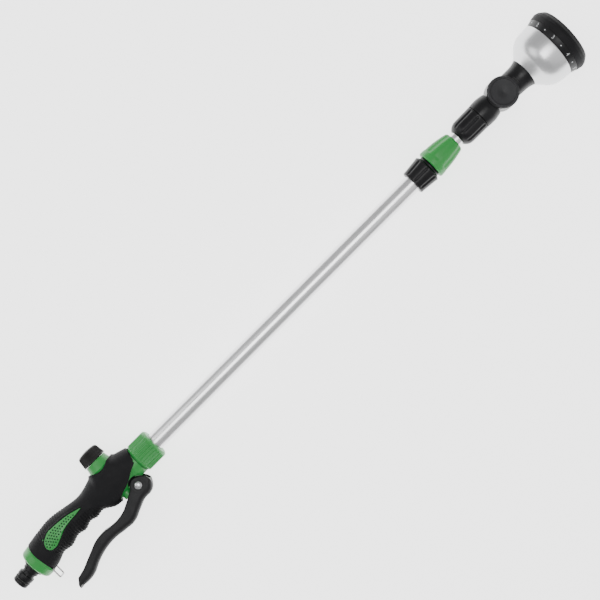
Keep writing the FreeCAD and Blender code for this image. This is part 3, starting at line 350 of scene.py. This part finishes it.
GREEN = (0.024, 0.275, 0.048)
M = {
    "green": plastic("green_plastic", GREEN, 0.36, grain=1100, grain_depth=0.000012, coat=0.08, vary=0.07),
    "soft": plastic("soft_grip", (0.008, 0.008, 0.009), 0.60, grain=1600, grain_depth=0.00004, wear=0.15,
                    gleam=0.16),
    "black": plastic("hard_black", (0.005, 0.005, 0.006), 0.34, grain=1200, grain_depth=0.00002, wear=0.15,
                     gleam=0.26),
    "knob": plastic("knob_black", (0.011, 0.010, 0.010), 0.48, grain=1300, grain_depth=0.00002, wear=0.2,
                    gleam=0.24),
    "lever": plastic("lever_black", (0.009, 0.009, 0.010), 0.46, grain=1500, grain_depth=0.00003, wear=0.15,
                     gleam=0.26),
    "cap": plastic("cap_grey", (0.017, 0.017, 0.019), 0.42, grain=1500, grain_depth=0.00002, wear=0.15,
                   gleam=0.26),
    "ring": plastic("ring_black", (0.005, 0.005, 0.006), 0.36, grain=1300, grain_depth=0.00002, wear=0.3,
                    gleam=0.28),
    "face": plastic("face_grey", (0.052, 0.055, 0.060), 0.45, grain=1500, grain_depth=0.00002),
    "dark": plastic("face_dark", (0.016, 0.016, 0.018), 0.45, grain=1500, grain_depth=0.00002),
    "print": plastic("pale_print", (0.50, 0.51, 0.52), 0.5, grain=1500, vary=0.2),
    "seal": plastic("seal_rubber", (0.012, 0.012, 0.012), 0.55, grain=1800),
    "nylon": plastic("white_nylon", (0.72, 0.71, 0.67), 0.42, grain=1200),
    "alloy": metal("satin_aluminium", (0.80, 0.80, 0.81), 0.28, stretch=(0.06, 1, 1), scale=900,
                   depth=0.000006),
    "silver": metal("satin_silver", (0.67, 0.675, 0.685), 0.30, stretch=(0.12, 1, 1), scale=700,
                    depth=0.000003, metallic=0.92, spread=0.03),
    "steel": metal("steel_pin", (0.55, 0.55, 0.56), 0.22, scale=500),
    "spring": metal("spring_steel", (0.34, 0.33, 0.33), 0.22, scale=800),
    "chrome": metal("chrome_screw", (0.82, 0.82, 0.83), 0.12, scale=500),
    "brass": metal("brass_ring", (0.75, 0.57, 0.27), 0.28, scale=500),
}
SLOT_MATERIAL = {
    "green_plastic": "green", "soft_black": "soft", "hard_black": "black", "knob_black": "knob",
    "lever_black": "lever", "cap_grey": "cap", "ring_black": "ring", "face_grey": "face",
    "face_dark": "dark", "seal_rubber": "seal", "steel_pin": "steel", "spring_steel": "spring",
    "satin_aluminium": "alloy", "satin_silver": "silver", "white_nylon": "nylon",
    "brass_ring": "brass", "chrome_screw": "chrome",
}


def dress_cad_nodes():
    """Give every carried-over CAD node its procedural material."""
    for entry in frame["record"]["subparts"]:
        node = frame["nodes"][entry["node"]]
        node.data.materials.clear()
        node.data.materials.append(M[SLOT_MATERIAL[entry["material_slot"]]])


# ---------------------------------------------------------------- handle
GRIP_STATIONS = (
    (6.0, 18.0, -17.8, 16.4), (22.5, 20.4, -16.0, 17.0), (32.5, 22.0, -14.2, 17.0),
    (44.5, 23.7, -10.3, 16.6), (54.5, 24.6, -11.6, 16.4), (66.5, 23.4, -8.3, 15.6),
    (75.5, 21.6, -10.0, 15.0), (84.5, 20.0, -7.3, 13.4), (92.5, 19.4, -9.3, 13.9),
    (101.5, 20.8, -8.3, 14.2), (112.5, 24.0, -14.3, 16.0), (120.5, 25.7, -15.6, 16.9),
    (133.5, 26.2, -14.6, 17.2), (148.5, 23.6, -10.8, 16.6), (159.5, 20.4, -8.6, 14.2),
)
STATION_X = [station[0] for station in GRIP_STATIONS]


def grip_at(x):
    """Top, bottom and half width of the grip at x, smooth through the stations."""
    last = len(STATION_X) - 1
    this = int(clamp(bisect.bisect_right(STATION_X, x) - 1, 0, last - 1))
    before, ahead, beyond = max(this - 1, 0), this + 1, min(this + 2, last)
    span = STATION_X[ahead] - STATION_X[this]
    part = clamp((x - STATION_X[this]) / span)
    leave = part * (1 - part) ** 2 * span / (STATION_X[ahead] - STATION_X[before])
    arrive = part ** 2 * (part - 1) * span / (STATION_X[beyond] - STATION_X[this])
    step = part ** 2 * (3 - 2 * part)
    sizes = []
    for field in (1, 2, 3):
        a, b, c, d = [GRIP_STATIONS[n][field] for n in (before, this, ahead, beyond)]
        sizes.append(b + step * (c - b) + leave * (c - a) + arrive * (d - b))
    return sizes


PAD_FROM = 38.0
PAD_TO = 89.5
PAD_PATH = sample_path([
    (PAD_TO, 9.2), (PAD_FROM + 19, 15.2, 90), (PAD_FROM + 5, 12.4, 18), (PAD_FROM, 5.5, 10),
    (PAD_FROM + 5.5, -1.0, 6), (PAD_FROM + 9, -0.8, 12), (PAD_FROM + 16, 1.8), (PAD_FROM + 23, 5.0),
    (PAD_FROM + 32, 7.1, -40), (PAD_FROM + 42, 7.9, -70), (PAD_TO, 9.2)], 7)


def signed_distance(path, x, y):
    """Distance from a closed path, negative inside."""
    best = 1e9
    inside = False
    for (ax, ay), (bx, by) in zip(path, path[1:]):
        ex, ey = bx - ax, by - ay
        t = clamp(((x - ax) * ex + (y - ay) * ey) / (ex * ex + ey * ey + 1e-12))
        best = min(best, math.hypot(x - ax - t * ex, y - ay - t * ey))
        if (ay > y) != (by > y) and x < ax + (y - ay) * ex / ey:
            inside = not inside
    return -best if inside else best


PAD_TOP = sample_path([(PAD_FROM + 5, 12.4), (PAD_FROM + 19, 15.2, -18), (PAD_TO, 9.2, -90)], 10)
FRONT_EDGE = sample_path([(164, 3.5), (161.5, 3.2), (148.6, -2, 60), (136, -8.6, -60), (123.2, -13.4, 40),
                          (118.0, -22)], 6)
RIB_PITCH = 2.9
SKIN_FROM = 22.7
SKIN_TO = 161.0
SKIN_INNER_DEPTH = 3.6


def height_on(path, x):
    """Y of a left-to-right path at x, or None outside it."""
    for (ax, ay), (bx, by) in zip(path, path[1:]):
        if min(ax, bx) <= x <= max(ax, bx) and ax != bx:
            return ay + (by - ay) * (x - ax) / (bx - ax)
    return None


def rib_mask(x, y, pad):
    """Where the grip carries its cross ribs: over the back and over the finger side."""
    above = smooth(1.6, 3.2, y - (height_on(PAD_TOP, x) or 10.5)) if x < PAD_TO else 0.0
    back = above * smooth(36.0, 41.0, x) * (1 - smooth(71.0, 78.0, x))
    middle = 9.0 - 0.10 * (x - PAD_FROM)
    below = smooth(1.4, 3.0, pad) * smooth(0.0, 1.5, middle - y)
    slant = x + 0.9 * (y - 2.0)
    fingers = below * smooth(38.0, 42.0, x) * (1 - smooth(93.0, 99.0, slant))
    return max(back, fingers)


def grip_relief(x, y, z):
    """Offset of the soft skin along its normal."""
    pad = signed_distance(PAD_PATH, x, y) if 33 < x < 95 else 9.0
    offset = 0.0
    window = 1 - smooth(-0.55, 0.35, pad)
    lip = math.exp(-((pad - 1.0) / 0.7) ** 2) * 0.35
    wave = 0.5 - 0.5 * math.cos(TAU * (x - 0.10 * y) / RIB_PITCH)
    offset -= 0.75 * rib_mask(x, y, pad) * wave ** 1.5
    cover = math.exp(-((x - 41.8) / 2.6) ** 2 - ((y - 14.6) / 1.6) ** 2)    # over the core's pad edge
    offset += lip + 0.5 * cover
    boss = math.hypot(x - VALVE_X, z * 0.98)
    if y > 10:
        window = max(window, 1 - smooth(14.2, 15.6, boss))
        offset += 0.3 * math.exp(-((boss - 16.0) / 0.8) ** 2)
        offset += 1.7 * smooth(19.0, 24.0, y) * math.exp(-((boss - 14.6) / 2.4) ** 2)
    edge = height_on(FRONT_EDGE, x)
    if edge is not None:
        drop = y - edge
        window = max(window, 1 - smooth(-0.4, 0.7, drop))
        offset += 0.3 * math.exp(-((drop - 1.3) / 0.7) ** 2)
    ends = max(1 - smooth(22.7, 24.0, x), smooth(159.8, 161.0, x))
    return (offset - 2.6 * window) * (1 - ends) - 1.6 * ends


def grip_ring(x, around, relief):
    """One ring of the grip's surface at x, moved along its outward direction by relief(x, y, z)."""
    top, low, half = grip_at(x)
    tall, middle = (top - low) / 2, (top + low) / 2
    power = 2 + 1.3 * smooth(112, 121, x) * (1 - smooth(139, 149, x))
    ring = []
    for k in range(around):
        angle = TAU * k / around
        full = 1.0
        if math.cos(angle) > 0:
            full = (math.cos(angle) ** power + abs(math.sin(angle)) ** power) ** (-1 / power)
        y, z = middle + full * tall * math.cos(angle), full * half * math.sin(angle)
        out_y, out_z = math.cos(angle) / tall, math.sin(angle) / half
        offset = relief(x, y, z) / math.hypot(out_y, out_z)
        ring.append((x, y + offset * out_y, z + offset * out_z))
    return ring


def grip_skin():
    """Soft skin with its ribs and windows outside and a plain wall inside, hidden in the core."""
    start, end, step, around = SKIN_FROM, SKIN_TO, 0.34, 312
    count = round((end - start) / step)
    outside = [start + (end - start) * k / count for k in range(count + 1)]
    vertices = []
    for x in outside:
        vertices += grip_ring(x, around, grip_relief)
    inside = outside[::-1][::12] + [start]
    for x in inside:
        vertices += grip_ring(x, around, lambda *_: -SKIN_INNER_DEPTH)
    faces = ring_faces(len(outside) + len(inside), around)
    make_piece("grip_skin", vertices, faces, M["soft"], "handle", ("grip_overmould",),
               ON_ROW)


def side_height(x, y, lift):
    """Half width of the grip's surface at a point of its side view, lifted outwards."""
    top, low, half = grip_at(x)
    a, c = (top - low) / 2, (top + low) / 2
    across = clamp((y - c) / a, -0.999, 0.999)
    return half * math.sqrt(1 - across * across) + lift


def grip_pads():
    """Raised teardrop pads on both sides, with rows of small dark dots."""
    rings, around = 16, 96
    edge = PAD_PATH[:-1]
    lengths = [math.dist(a, b) for a, b in zip(PAD_PATH, PAD_PATH[1:])]
    total = sum(lengths)
    outline = []
    for k in range(around):
        want = total * k / around
        for (ax, ay), (bx, by), length in zip(PAD_PATH, PAD_PATH[1:], lengths):
            if want <= length:
                outline.append((ax + (bx - ax) * want / length, ay + (by - ay) * want / length))
                break
            want -= length
    spine = [(PAD_FROM + 6 + (PAD_TO - PAD_FROM - 7) * clamp((x - PAD_FROM - 6) / (PAD_TO - PAD_FROM - 6)))
             for x, y in outline]
    vertices, faces = [], []
    for side in (1, -1):
        base = len(vertices)
        for ring in range(rings + 1):
            part = ring / rings
            for (x, y), sx in zip(outline, spine):
                sy = pad_middle(sx)
                px, py = x + (sx - x) * part, y + (sy - y) * part
                rise = 0.55 * smooth(0.0, 0.18, part) - 0.9 * (1 - smooth(-0.02, 0.03, part))
                vertices.append((px, py, side * side_height(px, py, rise)))
        faces += ring_faces(rings + 1, around, closed_rings=False, base=base, flip=side > 0)
    make_piece("grip_pads", vertices, faces, M["green"], "handle", (), ON_ROW)
    dots(edge)


def pad_middle(x):
    """Height of the pad's middle line."""
    top = height_on(PAD_TOP, clamp(x, PAD_FROM + 5.01, PAD_TO - 0.01)) or 9.4
    part = clamp((x - PAD_FROM - 6) / (PAD_TO - PAD_FROM - 6))
    low = -1.0 + 10.2 * part ** 0.8
    return (top + low) / 2


def dots(edge):
    """Small domed dots in staggered rows inside the pads' edge."""
    pitch, radius = 3.05, 0.78
    path = edge + [edge[0]]
    vertices, faces = [], []
    around = 14
    for row in range(-4, 6):
        for column in range(0, 20):
            x = PAD_FROM + 1.5 + pitch * column + (pitch / 2 if row % 2 else 0)
            y = pad_middle(x) + row * pitch * 0.80 - 0.4
            room = -signed_distance(path, x, y)
            if room < 1.35:
                continue
            size = radius * clamp(0.75 + 0.12 * room, 0.7, 1.0)
            for side in (1, -1):
                base = len(vertices)
                for out, lift in ((1.0, 0.35), (0.9, 0.72), (0.55, 0.86)):
                    for k in range(around):
                        px = x + size * out * math.cos(TAU * k / around)
                        py = y + size * out * math.sin(TAU * k / around)
                        vertices.append((px, py, side * side_height(px, py, lift)))
                vertices.append((x, y, side * side_height(x, y, 0.9)))
                faces += ring_faces(3, around, closed_rings=False, base=base, flip=side > 0)
                tip = base + 3 * around
                for k in range(around):
                    n = (k + 1) % around
                    loop = (base + 2 * around + k, base + 2 * around + n, tip)
                    faces.append(loop if side < 0 else loop[::-1])
    make_piece("grip_dots", vertices, faces, M["soft"], "handle", (), ON_ROW)


# ---------------------------------------------------------------- lever
LEVER_OUTER = sample_path([
    (12.8, -3), (1, -14.2, -12.2), (-8, -14.9, 25), (-20, -20), (-32, -23.6, -26), (-44, -22.4),
    (-66, -22, 60), (-90, -30.2, 70), (-108.5, -32.3, -30), (-109.6, -31.0), (-111.4, -31.0),
    (-111.6, -32.7), (-112.6, -32.2)], 10)[::-1]
LEVER_TOP = sample_path([
    (-112.6, -32.2), (-112.2, -28.6), (-107.6, -22.9), (-98, -20.6), (-72, -9.9), (-56, -8.4, -40),
    (-28, -7.4, 50), (-18, -2.6), (-9.2, 2.4), (-6.3, 5.9), (0, 8.6, -8.6), (6.6, 6.2, -8.6),
    (12.8, -3, -12)], 10)
LEVER_FLOOR = [(-120, 0), (-27.4, 0), (-27, -12.5), (-20, -10.4), (-12, -7.4), (30, -7.4)]
LEVER_HALF = 9.0
SLOT_HALF = 6.2


def lever():
    """One loft along the arm; each ring is a D section with a slot between two cheeks near the pin."""
    marks = sorted({round(x, 3) for x, y in LEVER_OUTER + LEVER_TOP})
    stations = [marks[0] + 0.02]
    for a, b in zip(marks, marks[1:]):
        parts = max(1, math.ceil((b - a) / 1.2))
        stations += [a + (b - a) * (k + 1) / parts for k in range(parts)]
    stations[-1] -= 0.05
    vertices = []
    count = 0
    for x in stations:
        low = height_on(LEVER_OUTER, x)
        top = max(height_on(LEVER_TOP, x), low + 0.3)
        floor = height_on(LEVER_FLOOR, x)
        floor = top if floor is None or x < -27.2 else clamp(floor, low + 0.5, top)
        tall = top - low
        ring = lever_ring(low, top, floor, min(6.6, tall * 0.6), min(1.6, tall * 0.3))
        count = len(ring)
        vertices += [(x, y, z) for y, z in ring]
    faces = ring_faces(len(stations), count, closed_rings=False, flip=True)
    faces.append(list(range(count)))
    faces.append([(len(stations) - 1) * count + k for k in reversed(range(count))])
    piece = make_piece("lever_arm", vertices, faces, M["lever"], "lever", ("lever",), ON_PIN)
    triangulate = piece.modifiers.new("ends", "TRIANGULATE")
    triangulate.min_vertices = 5
    for name, to_row in (("lever_disc_front", ON_PIN_UP), ("lever_disc_back", ON_PIN_DOWN)):
        lathe(name, [(8.2, 3.2), (8.2, 8.0), (8.9, 8.0), (9.15, 7.6), (9.15, 5.2), (8.95, 4.9), (8.95, 3.2)],
              M["lever"], "lever", (), to_row, corner=0.3, segments=96)


def lever_ring(low, top, floor, big, small):
    """Section of the lever in (y, z): round outer side, small radii at the top, a slot down to floor."""
    half = LEVER_HALF
    right = [(low, 0.0), (low, (half - big) * 0.5)]
    for k in range(9):
        a = math.pi / 2 * k / 8
        right.append((low + big - big * math.cos(a), half - big + big * math.sin(a)))
    right.append(((low + big + top - small) / 2, half))
    for k in range(5):
        a = math.pi / 2 * k / 4
        right.append((top - small + small * math.sin(a), half - small + small * math.cos(a)))
    wall = SLOT_HALF + 0.4
    right += [(top, wall), (top - min(0.3, (top - floor) / 2), SLOT_HALF + 0.05)]
    right += [((top + floor) / 2, SLOT_HALF), (floor, SLOT_HALF - 0.05), (floor, SLOT_HALF / 2), (floor, 0.0)]
    left = [(y, -z) for y, z in reversed(right[1:-1])]
    return right + left


# ---------------------------------------------------------------- turned pieces of the handle and tubes
def handle_pieces():
    lathe("connector_body", [
        (-10, 4.8), (-10, 7.3), (-8.8, 8.2), (-5.9, 8.2), (-5.9, 6.4), (-3.5, 6.4), (-3.5, 8.2),
        (-2, 8.2), (-2, 8.7), (2, 8.7), (2, 7.0), (5.9, 7.0), (6.5, 8.3), (10.4, 8.3), (10.4, 10.5),
        (13.3, 10.5), (13.3, 8.0), (27, 8.0), (27, 4.8)], M["black"], "handle", ("hose_connector",),
        ON_CONNECTOR, corner=0.4)
    lathe("knob_shell", [
        (32.7, 3.55), (32.7, 6.2), (42, 6.2), (42, 8.8), (32.7, 11.1), (32.7, 13.1), (41.6, 11.9),
        (45.0, 8.6, -3.6), (46, 0, -60), (43.05, 0), (43.05, 3.55)], M["knob"], "flow_knob",
        ("knob_cap",), ON_KNOB, segments=324, step=0.8,
        relief=flutes(54, 0.5, 33.4, 44.2, lambda x: 11.2 - 0.22 * (x - 32.7), sharp=0.7))
    lathe("coupling_shell", [
        (161.5, 12.56), (161.5, 14.5), (163.3, 16.3), (183.7, 16.3), (185.5, 14.5), (185.5, 9.7),
        (182.1, 9.7), (182.1, 12.56)], M["green"], "handle", ("coupling_nut",),
        segments=384, step=0.8, corner=0.8, relief=flutes(32, 0.9, 163.6, 183.2, 14.6, sharp=0.8))
    lathe("pin_head", [
        (-10.8, 0), (-10.8, 1.2), (-9.5, 4.0, -5), (-9.2, 4.0), (-9.2, 2.0), (9.2, 2.0), (9.2, 4.0),
        (9.5, 4.0), (10.8, 1.2, -5), (10.8, 0)], M["steel"], "handle", ("lever_pin",),
        ON_PIN_UP, corner=0.3, segments=72)


def telescope_pieces():
    lathe("outer_tube_shell", [(178.2, 8.4), (178.2, 9.5), (571, 9.5), (571, 8.4)], M["alloy"], "handle",
          ("outer_tube",), step=12, corner=0.15)
    lathe("inner_tube_shell", [(200, 6.6), (200, 7.5), (626.5, 7.5), (626.5, 6.6)], M["alloy"], "inner",
          ("inner_tube",), step=12, corner=0.15)
    lathe("collar_shell", [
        (550.5, 9.53), (550.5, 12.4), (551.3, 13.2), (570.9, 15.3), (572.5, 13.5), (572.5, 12.2),
        (574.9, 12.2), (574.9, 11.0), (590.5, 11.0), (590.5, 9.9), (576.5, 9.3), (576.5, 7.8),
        (571.05, 7.8), (571.05, 9.53)], M["black"], "handle", ("tube_collar",),
        segments=256, step=0.8, corner=0.5,
        relief=flutes(8, 0.8, 552.0, 570.6, lambda x: 12.3, sharp=7.0, fade=1.6))
    lathe("clamp_shell", [
        (575.5, 11.09), (575.5, 14.6), (576.5, 15.6), (587.5, 15.1), (607.9, 11.5, -110), (609.5, 10.0),
        (609.5, 7.9), (604.1, 7.9), (594.5, 11.09)], M["green"], "clamp", ("clamp_nut",),
        segments=320, step=0.8, corner=0.7,
        relief=flutes(8, 0.7, 581.5, 612.0, lambda x: 11.8 if x < 600 else 9.3, sharp=1.5, fade=2.6))
    lathe("union_shell", [
        (614.5, 7.7), (614.5, 8.7), (623.5, 13.8, -12), (643.5, 14.0), (643.5, 11.56), (622.5, 11.56),
        (622.5, 7.7)], M["black"], "inner", ("union_nut",), segments=256, step=0.8,
        corner=0.4, relief=flutes(8, 0.8, 618.0, 642.9, lambda x: 11.8 if x > 619 else 9.9,
                                  sharp=7.0, fade=2.2))


# ---------------------------------------------------------------- spray head
def head_pieces():
    lathe("bell_skin", [
        (31, 11.9), (31, 15.8), (40, 25.1, 90), (52, 30.9, -20), (64.5, 31.9, -90), (64.5, 29.9),
        (52, 29.0), (41, 23.6, 20), (33.2, 14.8), (33.2, 11.9)], M["silver"], "head", ("bell_shell",),
        ON_HEAD, segments=192, step=1.0, corner=0.5)
    for name, to_row, node, body in (
            ("front_cap_shell", ON_PIVOT_UP, "pivot_cap_front", "head"),
            ("back_cap_shell", ON_PIVOT_DOWN, "pivot_cap_back", "inner")):
        lathe(name, [
            (13.03, 0), (13.03, 15.2), (13.5, 15.6), (14.8, 15.6), (16.0, 14.4, -1.2), (16.0, 13.2),
            (15.5, 12.7), (15.3, 6.0), (14.7, 0)], M["cap"], body, (node,), to_row,
            corner=0.3, step=1.2)
    lathe("selector_shell", [
        (64.8, 29.9), (64.8, 31.6), (71.5, 33.7), (71.5, 31.5), (83.6, 31.5), (83.6, 30.5), (69.9, 30.5),
        (69.9, 8.5), (67.7, 8.5), (67.7, 29.9)], M["ring"], "selector", ("selector_ring",),
        ON_HEAD, corner=0.3, segments=192)
    lathe("bumper_shell", [
        (71.55, 31.55), (71.55, 34.0), (77.5, 35.2), (81, 34.3), (85.5, 31.0), (85.5, 30.6),
        (83.7, 30.6), (83.7, 31.55)], M["soft"], "selector", ("bumper_ring",), ON_HEAD,
        corner=0.7, segments=288, step=1.0)

    def ribs(x, r, angle):
        inside = r < 27.2 and x > 74.2
        wave = 0.5 + 0.5 * math.cos(24 * angle)
        return -1.3 * wave ** 6 * (1 - smooth(79.0, 80.2, x)) if inside and r > 25 else 0.0
    lathe("face_well", [
        (74, 18.7), (74, 26.3), (80.5, 26.3), (80.5, 28.0), (69.95, 28.0), (69.95, 18.7)], M["dark"],
        "selector", ("face_ring",), ON_HEAD, segments=384, step=0.9, relief=ribs, corner=0.3)
    lathe("face_rim", [
        (80.55, 26.3), (82.8, 26.3), (83.6, 27.1), (83.6, 30.4), (69.95, 30.4), (69.95, 28.05),
        (80.55, 28.05)], M["face"], "selector", (), ON_HEAD, segments=192, corner=0.35)


OUTLET_PITCH_R = 14
OUTLET_STEP_DEG = 36


def face_pieces():
    """Ten outlets of five kinds round the face, and the screw in its middle."""
    base = [(80.7, 0), (80.7, 3.45), (83.3, 3.45), (83.3, 2.9), (82.0, 2.75), (82.0, 0)]
    tube = [(80.7, 0.9), (80.7, 3.45), (83.3, 3.45), (83.3, 2.9), (81.5, 2.5), (81.5, 1.7), (83.0, 1.5),
            (83.0, 0.9)]
    plug = [(80.7, 0), (80.7, 3.45), (83.4, 3.45), (83.4, 3.1), (82.8, 2.9), (83.2, 1.6), (83.5, 0)]
    kinds = ("plug", "tube", "holes", "plug", "tube", "slit", "arch", "slit", "slit", "plug")
    for number, kind in enumerate(kinds):
        angle = math.radians(90 - OUTLET_STEP_DEG * number)
        to_row = ON_HEAD @ Matrix.Translation(
            (0, OUTLET_PITCH_R * math.cos(angle), OUTLET_PITCH_R * math.sin(angle)))
        section = {"plug": plug, "tube": tube}.get(kind, base)
        name = "outlet_%d" % (number + 1)
        stands_for = ("nozzle_inserts",) if number == 0 else ()
        material = M["face"] if kind in ("plug", "arch") else M["ring"]
        lathe(name, section, material, "selector", stands_for, to_row, corner=0.2, segments=48)
        if kind == "holes":
            for hole in range(7):
                turn = TAU * hole / 6
                away = 1.55 if hole < 6 else 0.0
                pip = to_row @ Matrix.Translation((0, away * math.cos(turn), away * math.sin(turn)))
                lathe("%s_tip_%d" % (name, hole + 1), [
                    (81.9, 0.2), (81.9, 0.62), (82.9, 0.5), (82.9, 0.2)], M["face"], "selector", (),
                    pip, corner=0.08, segments=20)
        if kind in ("slit", "arch"):
            wide = 1.5 if kind == "slit" else 2.3
            bar(name + "_bar", to_row @ Matrix.Rotation(angle + 0.6, 4, "X"), wide)
    screw_head()


def bar(name, to_row, wide):
    """Rounded bar across an outlet."""
    outline = rounded([(-2.6, -wide / 2 - 0.6), (2.6, -wide / 2 - 0.6), (2.6, wide / 2 - 0.6),
                       (-2.6, wide / 2 - 0.6)], 0.5)
    vertices = []
    for x, shrink in ((81.9, 1.0), (82.9, 1.0), (83.15, 0.92)):
        vertices += [(x, y * shrink, z * shrink) for y, z in outline]
    count = len(outline)
    faces = ring_faces(3, count, closed_rings=False) + [tuple(range(2 * count, 3 * count))]
    make_piece(name, vertices, faces, M["face"], "selector", (), to_row)


SHANK_START = 59.5
SHANK_R = 2.2
SCREW_TOP = 85.1
SCREW_HEAD_R = 5.0
SCREW_SEAT = 82.46
RECESS_DEEP = 1.3


def screw_head():
    """Domed screw head with a cross recess, on its plain shank."""
    rings, around = 26, 120
    vertices, faces = [(SCREW_TOP - RECESS_DEEP, 0, 0)], []
    for ring in range(1, rings + 1):
        r = SCREW_HEAD_R * ring / rings
        for k in range(around):
            angle = TAU * k / around
            y, z = r * math.cos(angle), r * math.sin(angle)
            dome = SCREW_TOP - 0.55 * (r / SCREW_HEAD_R) ** 2 - 0.6 * smooth(4.2, SCREW_HEAD_R, r)
            arm = min(max(abs(y) - 2.5, abs(z) - 0.55), max(abs(z) - 2.5, abs(y) - 0.55))
            vertices.append((dome - RECESS_DEEP * (1 - smooth(-0.15, 0.15, arm)), y, z))
    faces += [(0, 1 + k, 1 + (k + 1) % around) for k in range(around)]
    faces += ring_faces(rings, around, closed_rings=False, base=1)
    for x, r in ((SCREW_SEAT, SCREW_HEAD_R), (SCREW_SEAT, SHANK_R), (SHANK_START, SHANK_R),
                 (SHANK_START, 0.3)):
        vertices += [(x, r * math.cos(TAU * k / around), r * math.sin(TAU * k / around))
                     for k in range(around)]
    faces += ring_faces(5, around, closed_rings=False, base=1 + (rings - 1) * around)
    faces.append(tuple(range(len(vertices) - around, len(vertices))))
    make_piece("screw_with_recess", vertices, faces, M["chrome"], "head", ("centre_screw",),
               ON_HEAD)


BAND_MARKS = 9
BAND_MIDDLE = 68.3
BAND_MEAN_R = 33.0
DIGIT_SIZE = 5.2
DOT_R = 0.7


def band_marks():
    """Pale numbers from 1 up round the selector band, with a dot between each pair."""
    for number in range(BAND_MARKS):
        curve = bpy.data.curves.new("digit", "FONT")
        curve.body = str(number + 1)
        curve.size = DIGIT_SIZE
        curve.align_x = "CENTER"
        curve.align_y = "CENTER"
        curve.extrude = 0.12
        curve.resolution_u = 3
        holder = bpy.data.objects.new("digit", curve)
        mesh = bpy.data.meshes.new_from_object(holder)
        bpy.data.objects.remove(holder)
        angle = TAU * number / BAND_MARKS
        vertices = [band_point(BAND_MIDDLE + v.co.y, angle + v.co.x / BAND_MEAN_R, v.co.z)
                    for v in mesh.vertices]
        faces = [tuple(p.vertices) for p in mesh.polygons]
        base = len(vertices)
        around = 12
        between = angle + TAU / BAND_MARKS / 2
        for k in range(around):
            a = TAU * k / around
            vertices.append(band_point(BAND_MIDDLE + DOT_R * math.cos(a),
                                       between + DOT_R * math.sin(a) / BAND_MEAN_R, 0.12))
        vertices.append(band_point(BAND_MIDDLE, between, 0.16))
        faces += [(base + k, base + (k + 1) % around, base + around) for k in range(around)]
        make_piece("band_mark_%d" % (number + 1), vertices, faces, M["print"], "selector", (),
                   ON_HEAD)


def band_point(x, angle, lift):
    """Point on the sloping band, lifted outwards."""
    radius = 31.6 + (x - 64.8) * 2.1 / 6.7 + 0.06 + max(lift, 0.0)
    return (x, radius * math.cos(angle), radius * math.sin(angle))


# ---------------------------------------------------------------- floor, light, camera, in metres
FLOOR_REACH = 6.0
FLOOR_GLOW = 2.4
SKY_GLOW = 0.55
WAND_MIDDLE = (0.39, 0.0, 0.0)
WAND_TURN = math.radians(-45.13)


def studio():
    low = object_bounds()[0].z
    mesh = bpy.data.meshes.new("floor")
    far = FLOOR_REACH
    corners = [(-far, -far, low), (far, -far, low), (far, far, low), (-far, far, low)]
    mesh.from_pydata(corners, [], [(0, 1, 2, 3)])
    material, tree, shader = node_material("pale_floor")
    tone = ramp(tree, noise(tree, 2.0), [(0.2, grey(0.90)), (0.8, grey(0.93))])
    tree.links.new(tone, shader.inputs["Base Color"])
    shader.inputs["Emission Color"].default_value = (1, 1, 1, 1)
    shader.inputs["Emission Strength"].default_value = FLOOR_GLOW
    shader.inputs["Roughness"].default_value = 0.9
    mesh.materials.append(material)
    floor = bpy.data.objects.new("floor", mesh)
    bpy.context.scene.collection.objects.link(floor)
    floor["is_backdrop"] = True

    world = bpy.data.worlds.new("studio")
    world.use_nodes = True
    background = world.node_tree.nodes["Background"]
    background.inputs["Color"].default_value = (1, 1, 1, 1)
    background.inputs["Strength"].default_value = SKY_GLOW
    bpy.context.scene.world = world
    for name, place, size, power in (
            ("key", (-0.5, 1.1, 1.3), 1.2, 8.0), ("fill", (1.2, -0.9, 1.1), 1.4, 3.0),
            ("top", (0.39, 0.0, 2.6), 1.3, 28.0)):
        light = bpy.data.lights.new(name, "AREA")
        light.energy = power
        light.size = size
        lamp = bpy.data.objects.new(name, light)
        lamp.location = place
        lamp.rotation_euler = (Vector(WAND_MIDDLE) - Vector(place)).to_track_quat("-Z", "Y").to_euler()
        bpy.context.scene.collection.objects.link(lamp)


def camera():
    """Looking straight down on the wand, which runs from lower left to upper right of the frame."""
    distance, half_view = 1.40, 0.300
    data = bpy.data.cameras.new("camera")
    data.sensor_width = 36.0
    data.lens = 18.0 * distance / half_view
    cam = bpy.data.objects.new("camera", data)
    cam.location = (0.3885, 0.0005, distance)
    cam.rotation_euler = (0, 0, WAND_TURN)
    bpy.context.scene.collection.objects.link(cam)
    bpy.context.scene.camera = cam


dress_cad_nodes()
grip_skin()
grip_pads()
lever()
handle_pieces()
telescope_pieces()
head_pieces()
face_pieces()
band_marks()
studio()
camera()
bpy.context.view_layer.update()
